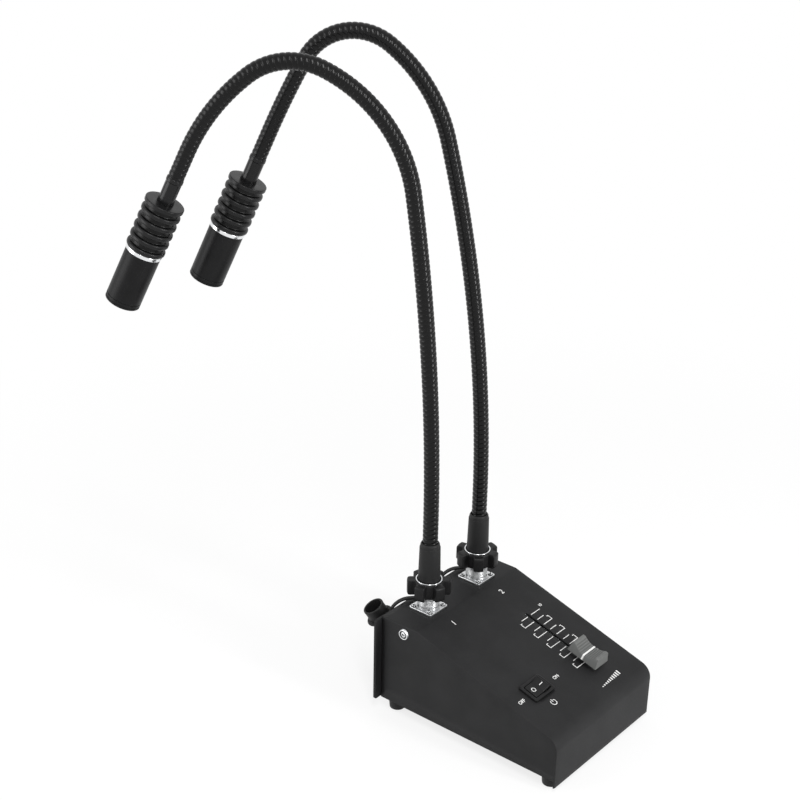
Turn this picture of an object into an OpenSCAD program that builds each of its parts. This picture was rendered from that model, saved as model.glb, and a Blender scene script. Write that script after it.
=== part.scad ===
// Dual gooseneck spot illuminator for the bench: a sloped sheet-metal housing with a
// brightness fader and a power rocker, and two plug-in gooseneck lamps on its rear land.
// Millimetres, +Z up. The operator's side faces -Y. The origin lies on the floor under
// the middle of the housing.

/* [Housing] */
// Width across the side walls
body_w = 110; // [100:1:130]
// Depth from the front wall to the rear panel
body_d = 141; // [134:1:160]
// Height of the level rear land above the floor
land_h = 72; // [68:1:84]
// Height of the corner where the front wall meets the slope
front_h = 38; // [34:1:46]
// Depth of the level rear land
land_d = 29; // [27:1:34]
// Sheet thickness of the cover, the base plate and the flanges
sheet = 1.5; // [1.2:0.1:2]
// Outer radius of the bend between front wall and slope
front_bend = 10; // [4:1:14]
// Outer radius of the bend between slope and land
ridge_bend = 8; // [3:1:12]
// Height of the side walls' lower edge above the floor
side_lift = 8.4; // [6:0.2:11]
// Height of the front wall's lower edge above the floor
front_lift = 3.5; // [2:0.5:6]
// How far the rear panel stands out beyond each side wall
panel_overhang = 6; // [3:0.5:9]
// Thickness of the rear panel
panel_t = 2; // [1.5:0.5:3]
// How far the rear panel's top edge lies below the land
panel_drop = 1.3; // [0.5:0.1:3]
// Depth of the rear panel's side flanges
flange_d = 26; // [22:1:32]
// Height of the rear panel's side flanges
flange_h = 14; // [11:1:18]
// Height of the base plate's upturned edges
tray_edge = 10; // [7:1:14]

/* [Feet and housing screws] */
// Diameter of a rubber foot at its top
foot_d = 12; // [10:0.5:14]
// Diameter of a rubber foot where it stands
foot_tip_d = 10.5; // [9:0.5:12]
// Distance of a foot's centre from the side wall's outer face
foot_inset = 8; // [7:0.5:12]
// Diameter of the hole up each foot
foot_hole_d = 4; // [3:0.5:5]
// Distance of a side screw from the rear panel
side_screw_back = 19; // [15:1:22]
// Depth of a side screw below the land
side_screw_down = 6; // [5:0.5:9]
// Thread diameter of the side and rear screws
screw_d = 3; // [2.5:0.5:4]
// Head diameter of the side and rear screws
screw_head_d = 6; // [5:0.5:7]
// Outer diameter of the side screws' cup washers
washer_d = 7.8; // [7.6:0.2:9]
// Height of the cup washers' rims
washer_h = 1.6; // [1.2:0.2:2.4]
// Head diameter of the side screws
side_head_d = 4.6; // [4:0.2:5.2]
// Length of a housing screw below its head
screw_l = 6; // [5:1:9]
// Sideways spacing of the two rear screws
rear_screw_gap = 80; // [60:2:88]

/* [Fader] */
// Distance of the fader slot from the housing's middle
fader_x = 23; // [18:0.5:30]
// Distance up the slope from the front corner to the fader's lowest setting
fader_low = 33; // [29:0.2:38]
// Travel of the fader from lowest to highest setting
fader_travel = 48.5; // [40:0.5:50]
// Width of the slot in the cover
slot_w = 2.4; // [2:0.1:3]
// Length of the cap's foot along the slot
cap_l = 23.2; // [20:0.2:26]
// Width of the cap's foot
cap_w = 14.6; // [12:0.2:17]
// Height of the cap's two ends above its foot
cap_h = 7.2; // [6.6:0.2:9]
// How deep the finger hollow dips between the ends
cap_hollow = 3.4; // [1.6:0.2:3.6]
// How far each end of the cap leans in from foot to ridge
cap_end_draft = 1.4; // [0.6:0.1:2]
// How far each side of the cap leans in from foot to ridge
cap_side_draft = 1.3; // [0.6:0.1:2]
// Gap between the cap's foot and the slope
cap_gap = 3.8; // [2:0.1:5]
// Thickness of the lever's blade, across the slot
blade_t = 1.2; // [0.8:0.1:1.4]
// Length of the lever's blade, along the slot
blade_l = 4; // [3:0.5:6]
// Width of the slide potentiometer's case
pot_w = 9.6; // [9:0.2:12]
// Height of the slide potentiometer's case
pot_h = 7.5; // [7:0.5:9]
// Wall of the potentiometer's case
pot_wall = 1; // [0.8:0.1:1.4]
// Length of each fixing tab of the potentiometer
pot_tab = 8; // [7:0.5:10]
// Diameter of the welded studs that hold the potentiometer
stud_d = 3; // [2.5:0.5:3.5]
// Length of the welded studs
stud_l = 5; // [4.5:0.5:7]

/* [Rocker switch] */
// Distance of the switch from the housing's middle, towards -X
switch_x = 27.9; // [22:0.1:34]
// Distance up the slope from the front corner to the switch's centre
switch_up = 36.6; // [30:0.2:44]
// Width of the switch's bezel
bezel_w = 21; // [19:0.5:23]
// Depth of the switch's bezel along the slope
bezel_l = 15; // [14:0.5:17]
// Height of the bezel above the slope
bezel_h = 1.8; // [1.2:0.2:2.4]
// How far the bezel laps over the cut-out on each side
bezel_lap = 1.1; // [0.8:0.1:1.5]
// Wall of the switch's housing
switch_wall = 1; // [0.8:0.1:1.2]
// Depth of the switch's housing below the slope
switch_depth = 13; // [12:0.5:16]
// Depth of the rocker's pivot below the slope
pivot_down = 1.5; // [1:0.5:2.5]
// Diameter of the rocker's pivot pins
pivot_d = 2.4; // [2:0.2:3]
// Tilt of the rocker to each side of level
rocker_tilt = 11; // [8:1:12]

/* [Sockets] */
// Distance of each socket from the housing's middle, as a share of the width
socket_share = 0.24; // [0.21:0.005:0.26]
// Distance of the sockets from the rear panel
socket_back = 16; // [14:0.5:18]
// Side of the square flange
flange_s = 18.6; // [18:0.2:20]
// Thickness of the square flange
flange_t = 1.6; // [1.2:0.2:2.4]
// Spacing of the flange screws along each side
flange_pitch = 13.8; // [13.4:0.2:14.6]
// Thread diameter of the flange screws
flange_screw_d = 2; // [1.8:0.1:2.4]
// Head diameter of the flange screws
flange_head_d = 3.6; // [3.2:0.2:4]
// Head height of the flange screws
flange_head_h = 1.2; // [0.8:0.2:1.4]
// Outer diameter of the threaded barrel
barrel_d = 14.6; // [13.8:0.2:15]
// Bore of the threaded barrel
barrel_bore = 11.2; // [10.6:0.2:12]
// Height of the barrel above the land
barrel_h = 15.5; // [14.5:0.5:16]
// Depth of the socket below the land
socket_depth = 10; // [8:0.5:13]

/* [Coupling rings and boots] */
// Diameter over the coupling ring's lobes
ring_d = 29.2; // [27:0.2:31]
// Width of one lobe
lobe_w = 8.4; // [7:0.2:9]
// Corner radius of a lobe
lobe_r = 2; // [1:0.2:2.8]
// Number of lobes
lobe_count = 6; // [5:1:6]
// Angle of the left ring's first lobe as it is screwed on
left_lobe = 11; // [0:1:60]
// Angle of the right ring's first lobe as it is screwed on
right_lobe = 41; // [0:1:60]
// Diameter of the ring between its lobes
ring_core_d = 21; // [20.5:0.5:23]
// Height of the ring's lower face above the land
ring_lift = 11.5; // [11:0.2:12.4]
// Height of the coupling ring
ring_h = 10.6; // [10:0.2:11.4]
// Outer diameter of the bright rim inside the ring's mouth
rim_d = 17.8; // [17.2:0.2:19]
// Wall of the bright rim
rim_wall = 0.9; // [0.7:0.1:1.2]
// Height of the bright rim above the ring
rim_proud = 0.5; // [0.3:0.1:1]
// Diameter of the boot at the ring
boot_d = 15; // [14:0.2:15.2]
// Diameter of the boot below its collar
boot_top_d = 13.8; // [13.2:0.2:14]
// Diameter of the narrower collar at the boot's top
boot_collar_d = 13; // [12.6:0.1:13.1]
// Height of that collar
boot_collar_h = 3.2; // [2:0.2:6]
// Height of the boot's top above the land
boot_h = 49.6; // [44:0.2:56]

/* [Necks] */
// Diameter over the ribs
neck_d = 10.4; // [10:0.2:10.8]
// Diameter in the grooves
neck_groove_d = 9.2; // [8.6:0.2:9.4]
// Bore of the neck
neck_bore = 4.8; // [4:0.2:5]
// Distance from rib to rib
rib_pitch = 3.4; // [3.2:0.1:5]
// Length of a neck from the boot to the lamp head
neck_l = 468; // [464:1:490]
// Straight run out of the boot
neck_root = 14; // [12:1:20]
// Straight run into the lamp head
neck_tip = 34; // [28:1:40]
// Direction that the left neck leans to, in degrees from +X
left_azimuth = 122.5; // [100:0.5:150]
// Length of the left neck's rise
left_rise_l = 218.5; // [200:0.5:236]
// Turn of the left neck along its rise, in degrees
left_rise_turn = 8.3; // [2:0.1:14]
// Length of the left neck's shoulder
left_shoulder_l = 92.7; // [80:0.1:100]
// Turn of the left neck along its shoulder, in degrees
left_shoulder_turn = 56.3; // [45:0.1:62]
// Length of the left neck's crown
left_crown_l = 47.2; // [44:0.1:56]
// Turn of the left neck along its crown, in degrees
left_crown_turn = 63; // [50:0.1:70]
// Turn of the left neck along its drop, in degrees
left_drop_turn = 27.2; // [10:0.1:32]
// Direction that the right neck leans to, in degrees from +X
right_azimuth = 122.6; // [100:0.5:150]
// Length of the right neck's rise
right_rise_l = 241.3; // [225:0.1:255]
// Turn of the right neck along its rise, in degrees
right_rise_turn = 13.6; // [6:0.1:18]
// Length of the right neck's shoulder
right_shoulder_l = 68.4; // [60:0.1:78]
// Turn of the right neck along its shoulder, in degrees
right_shoulder_turn = 38.2; // [28:0.1:44]
// Length of the right neck's crown
right_crown_l = 59.5; // [56:0.1:68]
// Turn of the right neck along its crown, in degrees
right_crown_turn = 99.2; // [85:0.1:104]
// Turn of the right neck along its drop, in degrees
right_drop_turn = 5; // [0:0.1:14]
// Distance along a neck from the boot to its first knuckle
knuckle_first = 56; // [48:1:64]
// Distance from knuckle to knuckle along the rise
knuckle_step = 84; // [80:1:86]
// Distance from the fourth knuckle to the last, across the crown
knuckle_last = 88; // [84:1:92]
// Diameter of a knuckle's ball
ball_d = 10; // [9.6:0.2:10.4]
// Diameter of the waist under a ball
waist_d = 8; // [7.6:0.2:8.4]
// Outer diameter of a knuckle's cup at its mouth
cup_d = 11.4; // [11.2:0.1:12]
// Diameter of the plain collars beside a knuckle
collar_d = 11; // [10.8:0.1:11.4]

/* [Lamp heads] */
// Length of the smooth ferrule between neck and heat sink
ferrule_l = 17; // [13:0.5:20]
// Diameter of the ferrule
ferrule_d = 10.6; // [10:0.2:11]
// Depth of the ferrule's seat in the heat sink
ferrule_seat = 2; // [1.5:0.1:2.2]
// Diameter of the heat sink over its fins
sink_d = 25; // [23.6:0.2:27]
// Length of the finned stretch
sink_l = 33.3; // [30:0.1:38]
// Diameter of the heat sink's core
sink_core_d = 20.5; // [19.6:0.1:21.5]
// Number of round-edged fins below the top disc
fin_count = 5; // [4:1:6]
// Thickness of a fin
fin_t = 3.6; // [2.4:0.2:4]
// Thickness of the top disc
sink_top_t = 2.8; // [2.4:0.2:3.6]
// Outer diameter of the bright trim ring
trim_d = 23.6; // [22.8:0.2:24]
// Width of the bright trim ring
trim_w = 2.4; // [1.2:0.2:2.8]
// Outer diameter of the lens barrel
head_d = 22.6; // [21.6:0.2:23.4]
// Wall of the lens barrel
head_wall = 1.5; // [1.2:0.1:1.8]
// Length of the lens barrel
head_l = 36.4; // [32:0.2:40]
// Height of the lip that holds the lens
lip_t = 1.5; // [1:0.1:2]
// How far the lip reaches in over the lens
lip_in = 1; // [0.6:0.1:1.4]
// Depth of the fine groove round the barrel
groove_deep = 0.4; // [0.2:0.1:0.6]
// Distance of the fine groove from the lens end
groove_up = 3; // [2:0.5:5]
// Height of the lens
lens_h = 13; // [11:0.5:16]
// Diameter of the lens at its narrow end
lens_foot_d = 10; // [9:0.5:12]
// Thickness of the lens's rim
lens_rim = 2; // [1.5:0.5:3]
// Thickness of the light source's board
led_board_t = 1.6; // [1.2:0.2:2]
// Diameter of the light source's dome
led_dome_d = 5; // [4:0.2:6]

/* [Dust caps] */
// Outer diameter of a dust cap
cap_outer_d = 14.6; // [14:0.2:15.4]
// Wall of a dust cap
cap_wall = 1.3; // [1:0.1:1.6]
// Length of a dust cap
cap_len = 13; // [11:0.5:15]
// Floor of a dust cap
cap_floor = 2; // [1.5:0.5:3]
// Outer diameter of the strap's loop round the cap
loop_d = 19; // [18:0.2:20]
// Diameter of the strap's eyelet
eyelet_d = 4; // [3.8:0.1:4.2]
// Thickness of the strap and its loop
strap_t = 1.2; // [1:0.1:1.3]
// Width of the strap
strap_w = 3.4; // [3:0.1:3.8]
// Direction of the strap from its flange screw, in degrees from +Y towards -X
strap_aim = 48.6; // [46:0.2:50]
// Radius of the strap's bend over the rear edge
strap_bend = 13.8; // [13:0.2:14.6]
// Angle of the strap's bend over the rear edge
strap_turn = 65; // [62:1:67]
// Length of the flat run from the flange screw to the bend
strap_flat = 11.5; // [11:0.1:12.5]
// Lean of a hanging dust cap from upright
cap_lean = 31; // [28:1:34]
// Direction in which a hanging dust cap leans, in degrees from +X
cap_azimuth = 139; // [130:1:145]
// Height of the loop above the cap's closed end
loop_up = 3; // [2.5:0.5:4]

/* [Inside] */
// Width of the driver board
board_w = 84; // [70:1:90]
// Depth of the driver board
board_d = 70; // [60:1:80]
// Thickness of the driver board
board_t = 1.6; // [1:0.2:2]
// Height of the standoffs under the board
standoff_h = 6; // [4:0.5:8]
// Diameter of the standoffs
standoff_d = 5; // [4.5:0.5:6]
// Distance of the standoffs from the board's edges
standoff_inset = 4; // [3.5:0.5:6]
// Diameter of the choke
choke_d = 14; // [10:0.5:16]
// Height of the choke
choke_h = 9; // [6:0.5:11]
// Diameter of the capacitors
capacitor_d = 8; // [6:0.5:9]
// Height of the capacitors
capacitor_h = 12; // [8:0.5:14]
// Side of the driver chip
chip_s = 9; // [6:0.5:12]
// Height of the driver chip
chip_h = 2; // [1:0.2:3]
// Width of a wire terminal block
terminal_w = 15; // [10:0.5:18]
// Depth of a wire terminal block
terminal_d = 8; // [6:0.5:9]
// Height of a wire terminal block
terminal_h = 10; // [8:0.5:11]
// Distance of the power inlet from the housing's middle
inlet_x = 30; // [20:1:36]
// Height of the power inlet above the floor
inlet_z = 34; // [28:1:40]
// Thread diameter of the power inlet
inlet_d = 8; // [7:0.2:9]
// Bore of the power inlet
inlet_bore = 5.6; // [5:0.1:6]
// Diameter of the power inlet's pin
inlet_pin_d = 2.1; // [1.6:0.1:2.5]
// Length of the power inlet's case behind the panel
inlet_l = 12; // [10:0.5:16]
// Side of the power inlet's square case
inlet_case = 11; // [10:0.5:13]

/* [Fits] */
// Clearance between pieces that are screwed or slid together
fit = 0.1; // [0.05:0.01:0.2]
// Clearance between moving pieces that don't bear on each other
clear = 0.3; // [0.2:0.05:0.4]
// Clearance of a bearing surface
running = 0.05; // [0.02:0.01:0.1]

/* [Hidden] */
$fn = 48;

// Sides: the left lamp is at -X, the right lamp at +X
LEFT = -1;
RIGHT = 1;

// Housing
front_y = -body_d / 2;
rear_y = body_d / 2;
ridge_y = rear_y - land_d;
slope_angle = atan2(land_h - front_h, ridge_y - front_y);
plate_z = side_lift + clear * 2;
plate_top = plate_z + sheet;
inner_x = body_w / 2 - sheet;
past = 20;
eps = 0.01;

// Controls, in the slope's own frame
slot_end = blade_l / 2 + clear * 2;
slot_l = fader_travel + 2 * slot_end;
slot_mid = fader_low + fader_travel / 2;
carriage_l = 9;
pot_l = fader_travel + carriage_l + 2 * (clear + pot_wall);
pot_tab_t = 1.2;
pot_seat = sheet + eps;
stud_at = pot_l / 2 + pot_tab / 2;
stud_nut_w = 5.5;
stud_nut_h = 2.2;
cap_skin = 1;
cap_land = 0.6;
blade_top = cap_gap + cap_h - cap_hollow - cap_skin;
rocker_deep = 4;
cup_seat = 0.6;
cup_flare = 0.25;
side_head_h = 1.2;
cut_w = bezel_w - 2 * bezel_lap;
cut_l = bezel_l - 2 * bezel_lap;
case_w = cut_w - 2 * fit;
case_l = cut_l - 2 * fit;
rocker_l = case_l - 2 * switch_wall - 2 * clear;
rocker_r = case_w / 2 - switch_wall - clear;
rocker_rise = 2.2;

// Sockets and couplings, heights measured from the land
socket_x = body_w * socket_share;
socket_y = rear_y - socket_back;
raised_h = 1.2;
raised_d = barrel_d + 0.2;
nose_d = barrel_bore - 0.4;
plug_stop_t = 2;
plug_stop_top = barrel_h + plug_stop_t;
plug_neck_d = 12;
shoulder_h = 1.8;
ring_top = ring_lift + ring_h;
shoulder_top = plug_stop_top + clear + shoulder_h;
stem_d = neck_d + 0.2;
stem_foot = shoulder_top + 2;
stem_top = boot_h - 3;
screw_past = 4;
screw_tail = flange_t + sheet + screw_past;
flange_nut_w = 4;
flange_nut_h = 1.6;

// Necks: each run is a length and the turn along it, in degrees
left_drop_l = neck_l - neck_root - neck_tip - left_rise_l - left_shoulder_l - left_crown_l;
right_drop_l = neck_l - neck_root - neck_tip - right_rise_l - right_shoulder_l - right_crown_l;
LEFT_RUNS = [
    [neck_root, 0], [left_rise_l, left_rise_turn], [left_shoulder_l, left_shoulder_turn],
    [left_crown_l, left_crown_turn], [left_drop_l, left_drop_turn], [neck_tip, 0]
];
RIGHT_RUNS = [
    [neck_root, 0], [right_rise_l, right_rise_turn], [right_shoulder_l, right_shoulder_turn],
    [right_crown_l, right_crown_turn], [right_drop_l, right_drop_turn], [neck_tip, 0]
];
knuckles = [
    knuckle_first, knuckle_first + knuckle_step, knuckle_first + 2 * knuckle_step,
    knuckle_first + 3 * knuckle_step, knuckle_first + 3 * knuckle_step + knuckle_last
];
neck_sides = 8;
bore_rings = 5;
ball_r = ball_d / 2;
cup_r = ball_r + clear;
cup_rim = 0.2;
waist_l = 3.6;
collar_l = 4.4;
cup_l = 9;
bury = 2.5;
ferrule_at = neck_l - ferrule_l;

// Lamp heads, heights measured from the heat sink's top disc
head_bore = head_d - 2 * head_wall;
spigot_l = head_l - lip_t - lens_h - led_board_t;
barrel_at = sink_l + trim_w;
board_at = barrel_at + spigot_l;
lens_at = board_at + led_board_t;
wire_bore = 4;
dome_deep = 3;

// Dust caps
strap_up = flange_t;
strap_mid = flange_t + strap_t / 2;
loop_bore = cap_outer_d - 2 * fit;
loop_reach = (loop_bore + loop_d) / 4 + clear;
strap_run = strap_flat + strap_bend * sin(strap_turn);
strap_end_z = strap_mid - strap_bend * (1 - cos(strap_turn));

// Unit vector
function unit(v) = v / norm(v);

// The two points where a round of radius r leaves the corner b between a and c
function round_ends(a, b, c, r) =
    let (u = unit(a - b), v = unit(c - b), half = acos(u * v) / 2)
    [b + u * r / tan(half), b + v * r / tan(half)];

// The centre of that round
function round_centre(a, b, c, r) =
    let (u = unit(a - b), v = unit(c - b), half = acos(u * v) / 2)
    b + unit(u + v) * r / sin(half);

// Height of the slope's outer face, moved inwards by depth, at a given Y
function slope_z(y, depth) =
    front_h + (y - front_y) * tan(slope_angle) - depth / cos(slope_angle);

// Where that line reaches the level land, moved inwards by the same depth
function ridge_at(depth) =
    front_y + (land_h - depth - front_h + depth / cos(slope_angle)) / tan(slope_angle);

// Displacement along a run of given length and turn that starts at heading h
function run_step(length, turn, h) =
    abs(turn) < 0.001
        ? length * [sin(h), cos(h)]
        : length / turn * 180 / PI * [cos(h) - cos(h + turn), sin(h + turn) - sin(h)];

// Heading from upright after distance s along the runs
function heading(runs, s, i = 0, h = 0) =
    i == len(runs) - 1 || s <= runs[i][0]
        ? h + runs[i][1] * s / runs[i][0]
        : heading(runs, s - runs[i][0], i + 1, h + runs[i][1]);

// Reach and height after distance s along the runs
function reach(runs, s, i = 0, h = 0, p = [0, 0]) =
    i == len(runs) - 1 || s <= runs[i][0]
        ? p + run_step(s, runs[i][1] * s / runs[i][0], h)
        : reach(runs, s - runs[i][0], i + 1, h + runs[i][1],
                p + run_step(runs[i][0], runs[i][1], h));

function runs_of(side) = side == LEFT ? LEFT_RUNS : RIGHT_RUNS;
function azimuth_of(side) = side == LEFT ? left_azimuth : right_azimuth;

// Point on a neck's centreline
function neck_point(side, s) =
    let (p = reach(runs_of(side), s), a = azimuth_of(side))
    [side * socket_x + p[0] * cos(a), socket_y + p[0] * sin(a), land_h + boot_h + p[1]];

// Ring of points round a neck's centreline
function neck_ring(side, s, r) =
    let (c = neck_point(side, s), h = heading(runs_of(side), s), a = azimuth_of(side))
    [for (k = [0:neck_sides - 1])
        let (t = 360 / neck_sides * (k + 0.25))
        c + r * cos(t) * [cos(h) * cos(a), cos(h) * sin(a), -sin(h)]
          + r * sin(t) * [-sin(a), cos(a), 0]];

// Carries a profile drawn in Y and Z across the width
module across(width) {
    rotate([90, 0, 90]) linear_extrude(width, center = true) children();
}

// Stands its children on the slope, +Y up the slope and +Z out of it
module on_slope(x, up) {
    translate([x, front_y + up * cos(slope_angle), front_h + up * sin(slope_angle)])
        rotate([slope_angle, 0, 0]) children();
}

// Stands its children on the land at one of the sockets
module on_socket(side) {
    translate([side * socket_x, socket_y, land_h]) children();
}

// Sets its children at distance s along a neck, +Z along the neck
module on_neck(side, s) {
    translate(neck_point(side, s))
        rotate([0, heading(runs_of(side), s), azimuth_of(side)]) children();
}

// Sets its children at the lamp head's top disc, +Z towards the lens
module on_head(side) {
    on_neck(side, neck_l) children();
}

module at_four(dx, dy) {
    for (x = [-dx, dx], y = [-dy, dy]) translate([x, y, 0]) children();
}

module hex_nut(across_flats, height, bore) {
    difference() {
        cylinder(d = across_flats / cos(30), h = height, $fn = 6);
        translate([0, 0, -eps]) cylinder(d = bore, h = height + 2 * eps);
    }
}

module tube(outer, inner, height) {
    difference() {
        cylinder(d = outer, h = height);
        translate([0, 0, -eps]) cylinder(d = inner, h = height + 2 * eps);
    }
}

// Pan-head screw with a cross recess, head up, its shank going down from z = 0
module pan_screw(head_d, head_h, shank_d, length) {
    recess_w = head_d / 6;
    difference() {
        union() {
            cylinder(d = head_d, h = head_h);
            translate([0, 0, -length]) cylinder(d = shank_d, h = length + eps);
        }
        for (a = [0, 90]) rotate(a)
            translate([-head_d * 0.3, -recess_w / 2, head_h / 2])
                cube([head_d * 0.6, recess_w, head_h]);
    }
}

// Outline of the cover's outer or inner face, with its two bends
module cover_outline(depth, foot, back) {
    a = [front_y + depth, foot];
    b = [front_y + depth, slope_z(front_y + depth, depth)];
    c = [ridge_at(depth), land_h - depth];
    d = [back, land_h - depth];
    front_r = max(front_bend - depth, 1);
    ridge_r = max(ridge_bend - depth, 1);
    polygon(concat([a], round_ends(a, b, c, front_r), round_ends(b, c, d, ridge_r),
                   [d, [back, foot]]));
    translate(round_centre(a, b, c, front_r)) circle(front_r);
    translate(round_centre(b, c, d, ridge_r)) circle(ridge_r);
}

// One bent sheet: front wall, slope, land and side walls, open below and behind
module top_cover() {
    color([0.11, 0.11, 0.12]) {
        difference() {
            across(body_w) cover_outline(0, front_lift, rear_y);
            across(body_w - 2 * sheet) cover_outline(sheet, front_lift - past, rear_y + past);
            translate([-body_w, front_y + sheet, side_lift - past])
                cube([2 * body_w, body_d + past, past]);
            on_slope(fader_x, slot_mid) {
                cube([slot_w, slot_l - slot_w, 4 * sheet], center = true);
                for (e = [-1, 1]) translate([0, e * (slot_l - slot_w) / 2, -2 * sheet])
                    cylinder(d = slot_w, h = 4 * sheet);
            }
            on_slope(-switch_x, switch_up) cube([cut_w, cut_l, 4 * sheet], center = true);
            for (side = [LEFT, RIGHT]) {
                on_socket(side) translate([0, 0, -2 * sheet]) {
                    cylinder(d = barrel_d + 2 * fit, h = 4 * sheet);
                    at_four(flange_pitch / 2, flange_pitch / 2)
                        cylinder(d = flange_screw_d + 2 * fit, h = 4 * sheet);
                }
                side_screw_axis(side) translate([0, 0, -2 * sheet])
                    cylinder(d = screw_d + 2 * fit, h = 4 * sheet);
            }
        }
        for (e = [-1, 1]) on_slope(fader_x, slot_mid + e * stud_at)
            translate([0, 0, -sheet - stud_l]) cylinder(d = stud_d, h = stud_l + eps);
    }
}

// Axis of a side screw, +Z out of the side wall
module side_screw_axis(side) {
    translate([side * body_w / 2, rear_y - side_screw_back, land_h - side_screw_down])
        rotate([0, side * 90, 0]) children();
}

// Axis of a rear screw, +Z out of the rear panel
module rear_screw_axis(e) {
    translate([e * rear_screw_gap / 2, rear_y + panel_t, plate_top + tray_edge / 2])
        rotate([-90, 0, 0]) children();
}

// Shallow tray: floor plate with its four edges turned up
module base_plate() {
    width = 2 * (inner_x - fit);
    depth = body_d - sheet - fit;
    color([0.14, 0.14, 0.15]) difference() {
        translate([-width / 2, rear_y - depth, plate_z]) cube([width, depth, sheet + tray_edge]);
        translate([-width / 2 + sheet, rear_y - depth + sheet, plate_top])
            cube([width - 2 * sheet, depth - 2 * sheet, tray_edge + past]);
        for (e = [-1, 1]) rear_screw_axis(e) translate([0, 0, -past])
            cylinder(d = screw_d + 2 * fit, h = 2 * past);
    }
}

// Flat panel behind the cover, with two flanges that the side screws hold
module rear_panel() {
    bottom = plate_z;
    top = land_h - panel_drop;
    width = body_w + 2 * panel_overhang;
    flange_top = land_h - sheet - 1;
    color([0.12, 0.12, 0.13]) difference() {
        union() {
            translate([-width / 2, rear_y, bottom]) cube([width, panel_t, top - bottom]);
            for (side = [LEFT, RIGHT])
                translate([side * (inner_x - fit - sheet / 2), rear_y - flange_d / 2 + eps / 2,
                           flange_top - flange_h / 2])
                    cube([sheet, flange_d + eps, flange_h], center = true);
        }
        for (side = [LEFT, RIGHT]) side_screw_axis(side) translate([0, 0, -past])
            cylinder(d = screw_d + 2 * fit, h = past + sheet);
        for (e = [-1, 1]) rear_screw_axis(e) translate([0, 0, -past])
            cylinder(d = screw_d + 2 * fit, h = 2 * past);
        inlet_axis() translate([0, 0, -past]) cylinder(d = inlet_d + 2 * fit, h = 2 * past);
    }
}

module rear_screws() {
    color("silver") for (e = [-1, 1]) rear_screw_axis(e)
        pan_screw(screw_head_d, 2, screw_d, screw_l);
}

module rubber_feet() {
    hole_r = foot_hole_d / 2;
    tip_r = foot_tip_d / 2;
    color([0.05, 0.05, 0.05])
        at_four(body_w / 2 - foot_inset, body_d / 2 - foot_inset) rotate_extrude() {
            polygon([[hole_r, 0], [tip_r, 0], [foot_d / 2, plate_z], [hole_r, plate_z]]);
        }
}

// Screws through the side walls, their heads seated in the cup washers
module cover_screws() {
    color("silver") for (side = [LEFT, RIGHT]) side_screw_axis(side)
        translate([0, 0, cup_seat])
            pan_screw(side_head_d, side_head_h, screw_d, screw_l - washer_h + cup_seat);
}

// Pressed washers: a flared outside, a raised rim and a sunk seat for the head
module cup_washers() {
    bore = screw_d / 2 + fit;
    seat_r = side_head_d / 2 + clear;
    rim_in = seat_r + cup_flare;
    rim_out = rim_in + 2 * cup_flare;
    color("silver") for (side = [LEFT, RIGHT]) side_screw_axis(side) rotate_extrude()
        polygon([[bore, 0], [washer_d / 2, 0], [washer_d / 2, clear], [rim_out, washer_h],
                 [rim_in, washer_h], [seat_r, cup_seat], [bore, cup_seat]]);
}

// Channel-shaped case under the slope, with a slot for the lever and two fixing tabs
module slide_pot_body() {
    inner_w = pot_w - 2 * pot_wall;
    color([0.75, 0.76, 0.78]) on_slope(fader_x, slot_mid) translate([0, 0, -pot_seat]) difference() {
        union() {
            translate([-pot_w / 2, -pot_l / 2, -pot_h]) cube([pot_w, pot_l, pot_h]);
            translate([-pot_w / 2, -pot_l / 2 - pot_tab, -pot_tab_t])
                cube([pot_w, pot_l + 2 * pot_tab, pot_tab_t]);
        }
        translate([-inner_w / 2, -pot_l / 2 + pot_wall, -pot_h + pot_wall])
            cube([inner_w, pot_l - 2 * pot_wall, pot_h - pot_wall - pot_tab_t]);
        translate([-slot_w / 2, -slot_l / 2, -pot_tab_t - eps])
            cube([slot_w, slot_l, pot_tab_t + past]);
        for (e = [-1, 1]) translate([0, e * stud_at, -past])
            cylinder(d = stud_d + 2 * fit, h = 2 * past);
    }
}

// Carriage inside the case and the blade that stands up through the slot
module slide_pot_lever() {
    carriage_w = pot_w - 2 * pot_wall - 2 * clear;
    carriage_h = pot_h - pot_wall - pot_tab_t - 2 * clear;
    carriage_z = -pot_seat - pot_h + pot_wall + clear;
    color([0.85, 0.85, 0.86]) on_slope(fader_x, fader_low) {
        translate([-carriage_w / 2, -carriage_l / 2, carriage_z])
            cube([carriage_w, carriage_l, carriage_h]);
        translate([-blade_t / 2, -blade_l / 2, carriage_z + carriage_h / 2])
            cube([blade_t, blade_l, blade_top - carriage_z - carriage_h / 2]);
    }
}

// Hollowed finger cap: a round scoop between two raised ends, all walls leaning in
module fader_cap() {
    half = cap_l / 2;
    shoulder = half - cap_end_draft;
    scoop_half = shoulder - cap_land;
    scoop_r = (scoop_half * scoop_half + cap_hollow * cap_hollow) / (2 * cap_hollow);
    lean = cap_side_draft / cap_h;
    low = cap_w / 2 + lean * past;
    high = cap_w / 2 - cap_side_draft - lean * past;
    color([0.47, 0.48, 0.47]) on_slope(fader_x, fader_low) difference() {
        translate([0, 0, cap_gap]) intersection() {
            across(cap_w + 2 * past) difference() {
                polygon([[-half, 0], [half, 0], [shoulder, cap_h], [-shoulder, cap_h]]);
                translate([0, cap_h - cap_hollow + scoop_r]) circle(scoop_r, $fn = 96);
            }
            rotate([90, 0, 0]) linear_extrude(cap_l + 2 * past, center = true)
                polygon([[-low, -past], [low, -past], [high, cap_h + past], [-high, cap_h + past]]);
        }
        translate([0, 0, blade_top / 2 + fit])
            cube([blade_t + fit, blade_l + fit, blade_top], center = true);
    }
}

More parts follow.
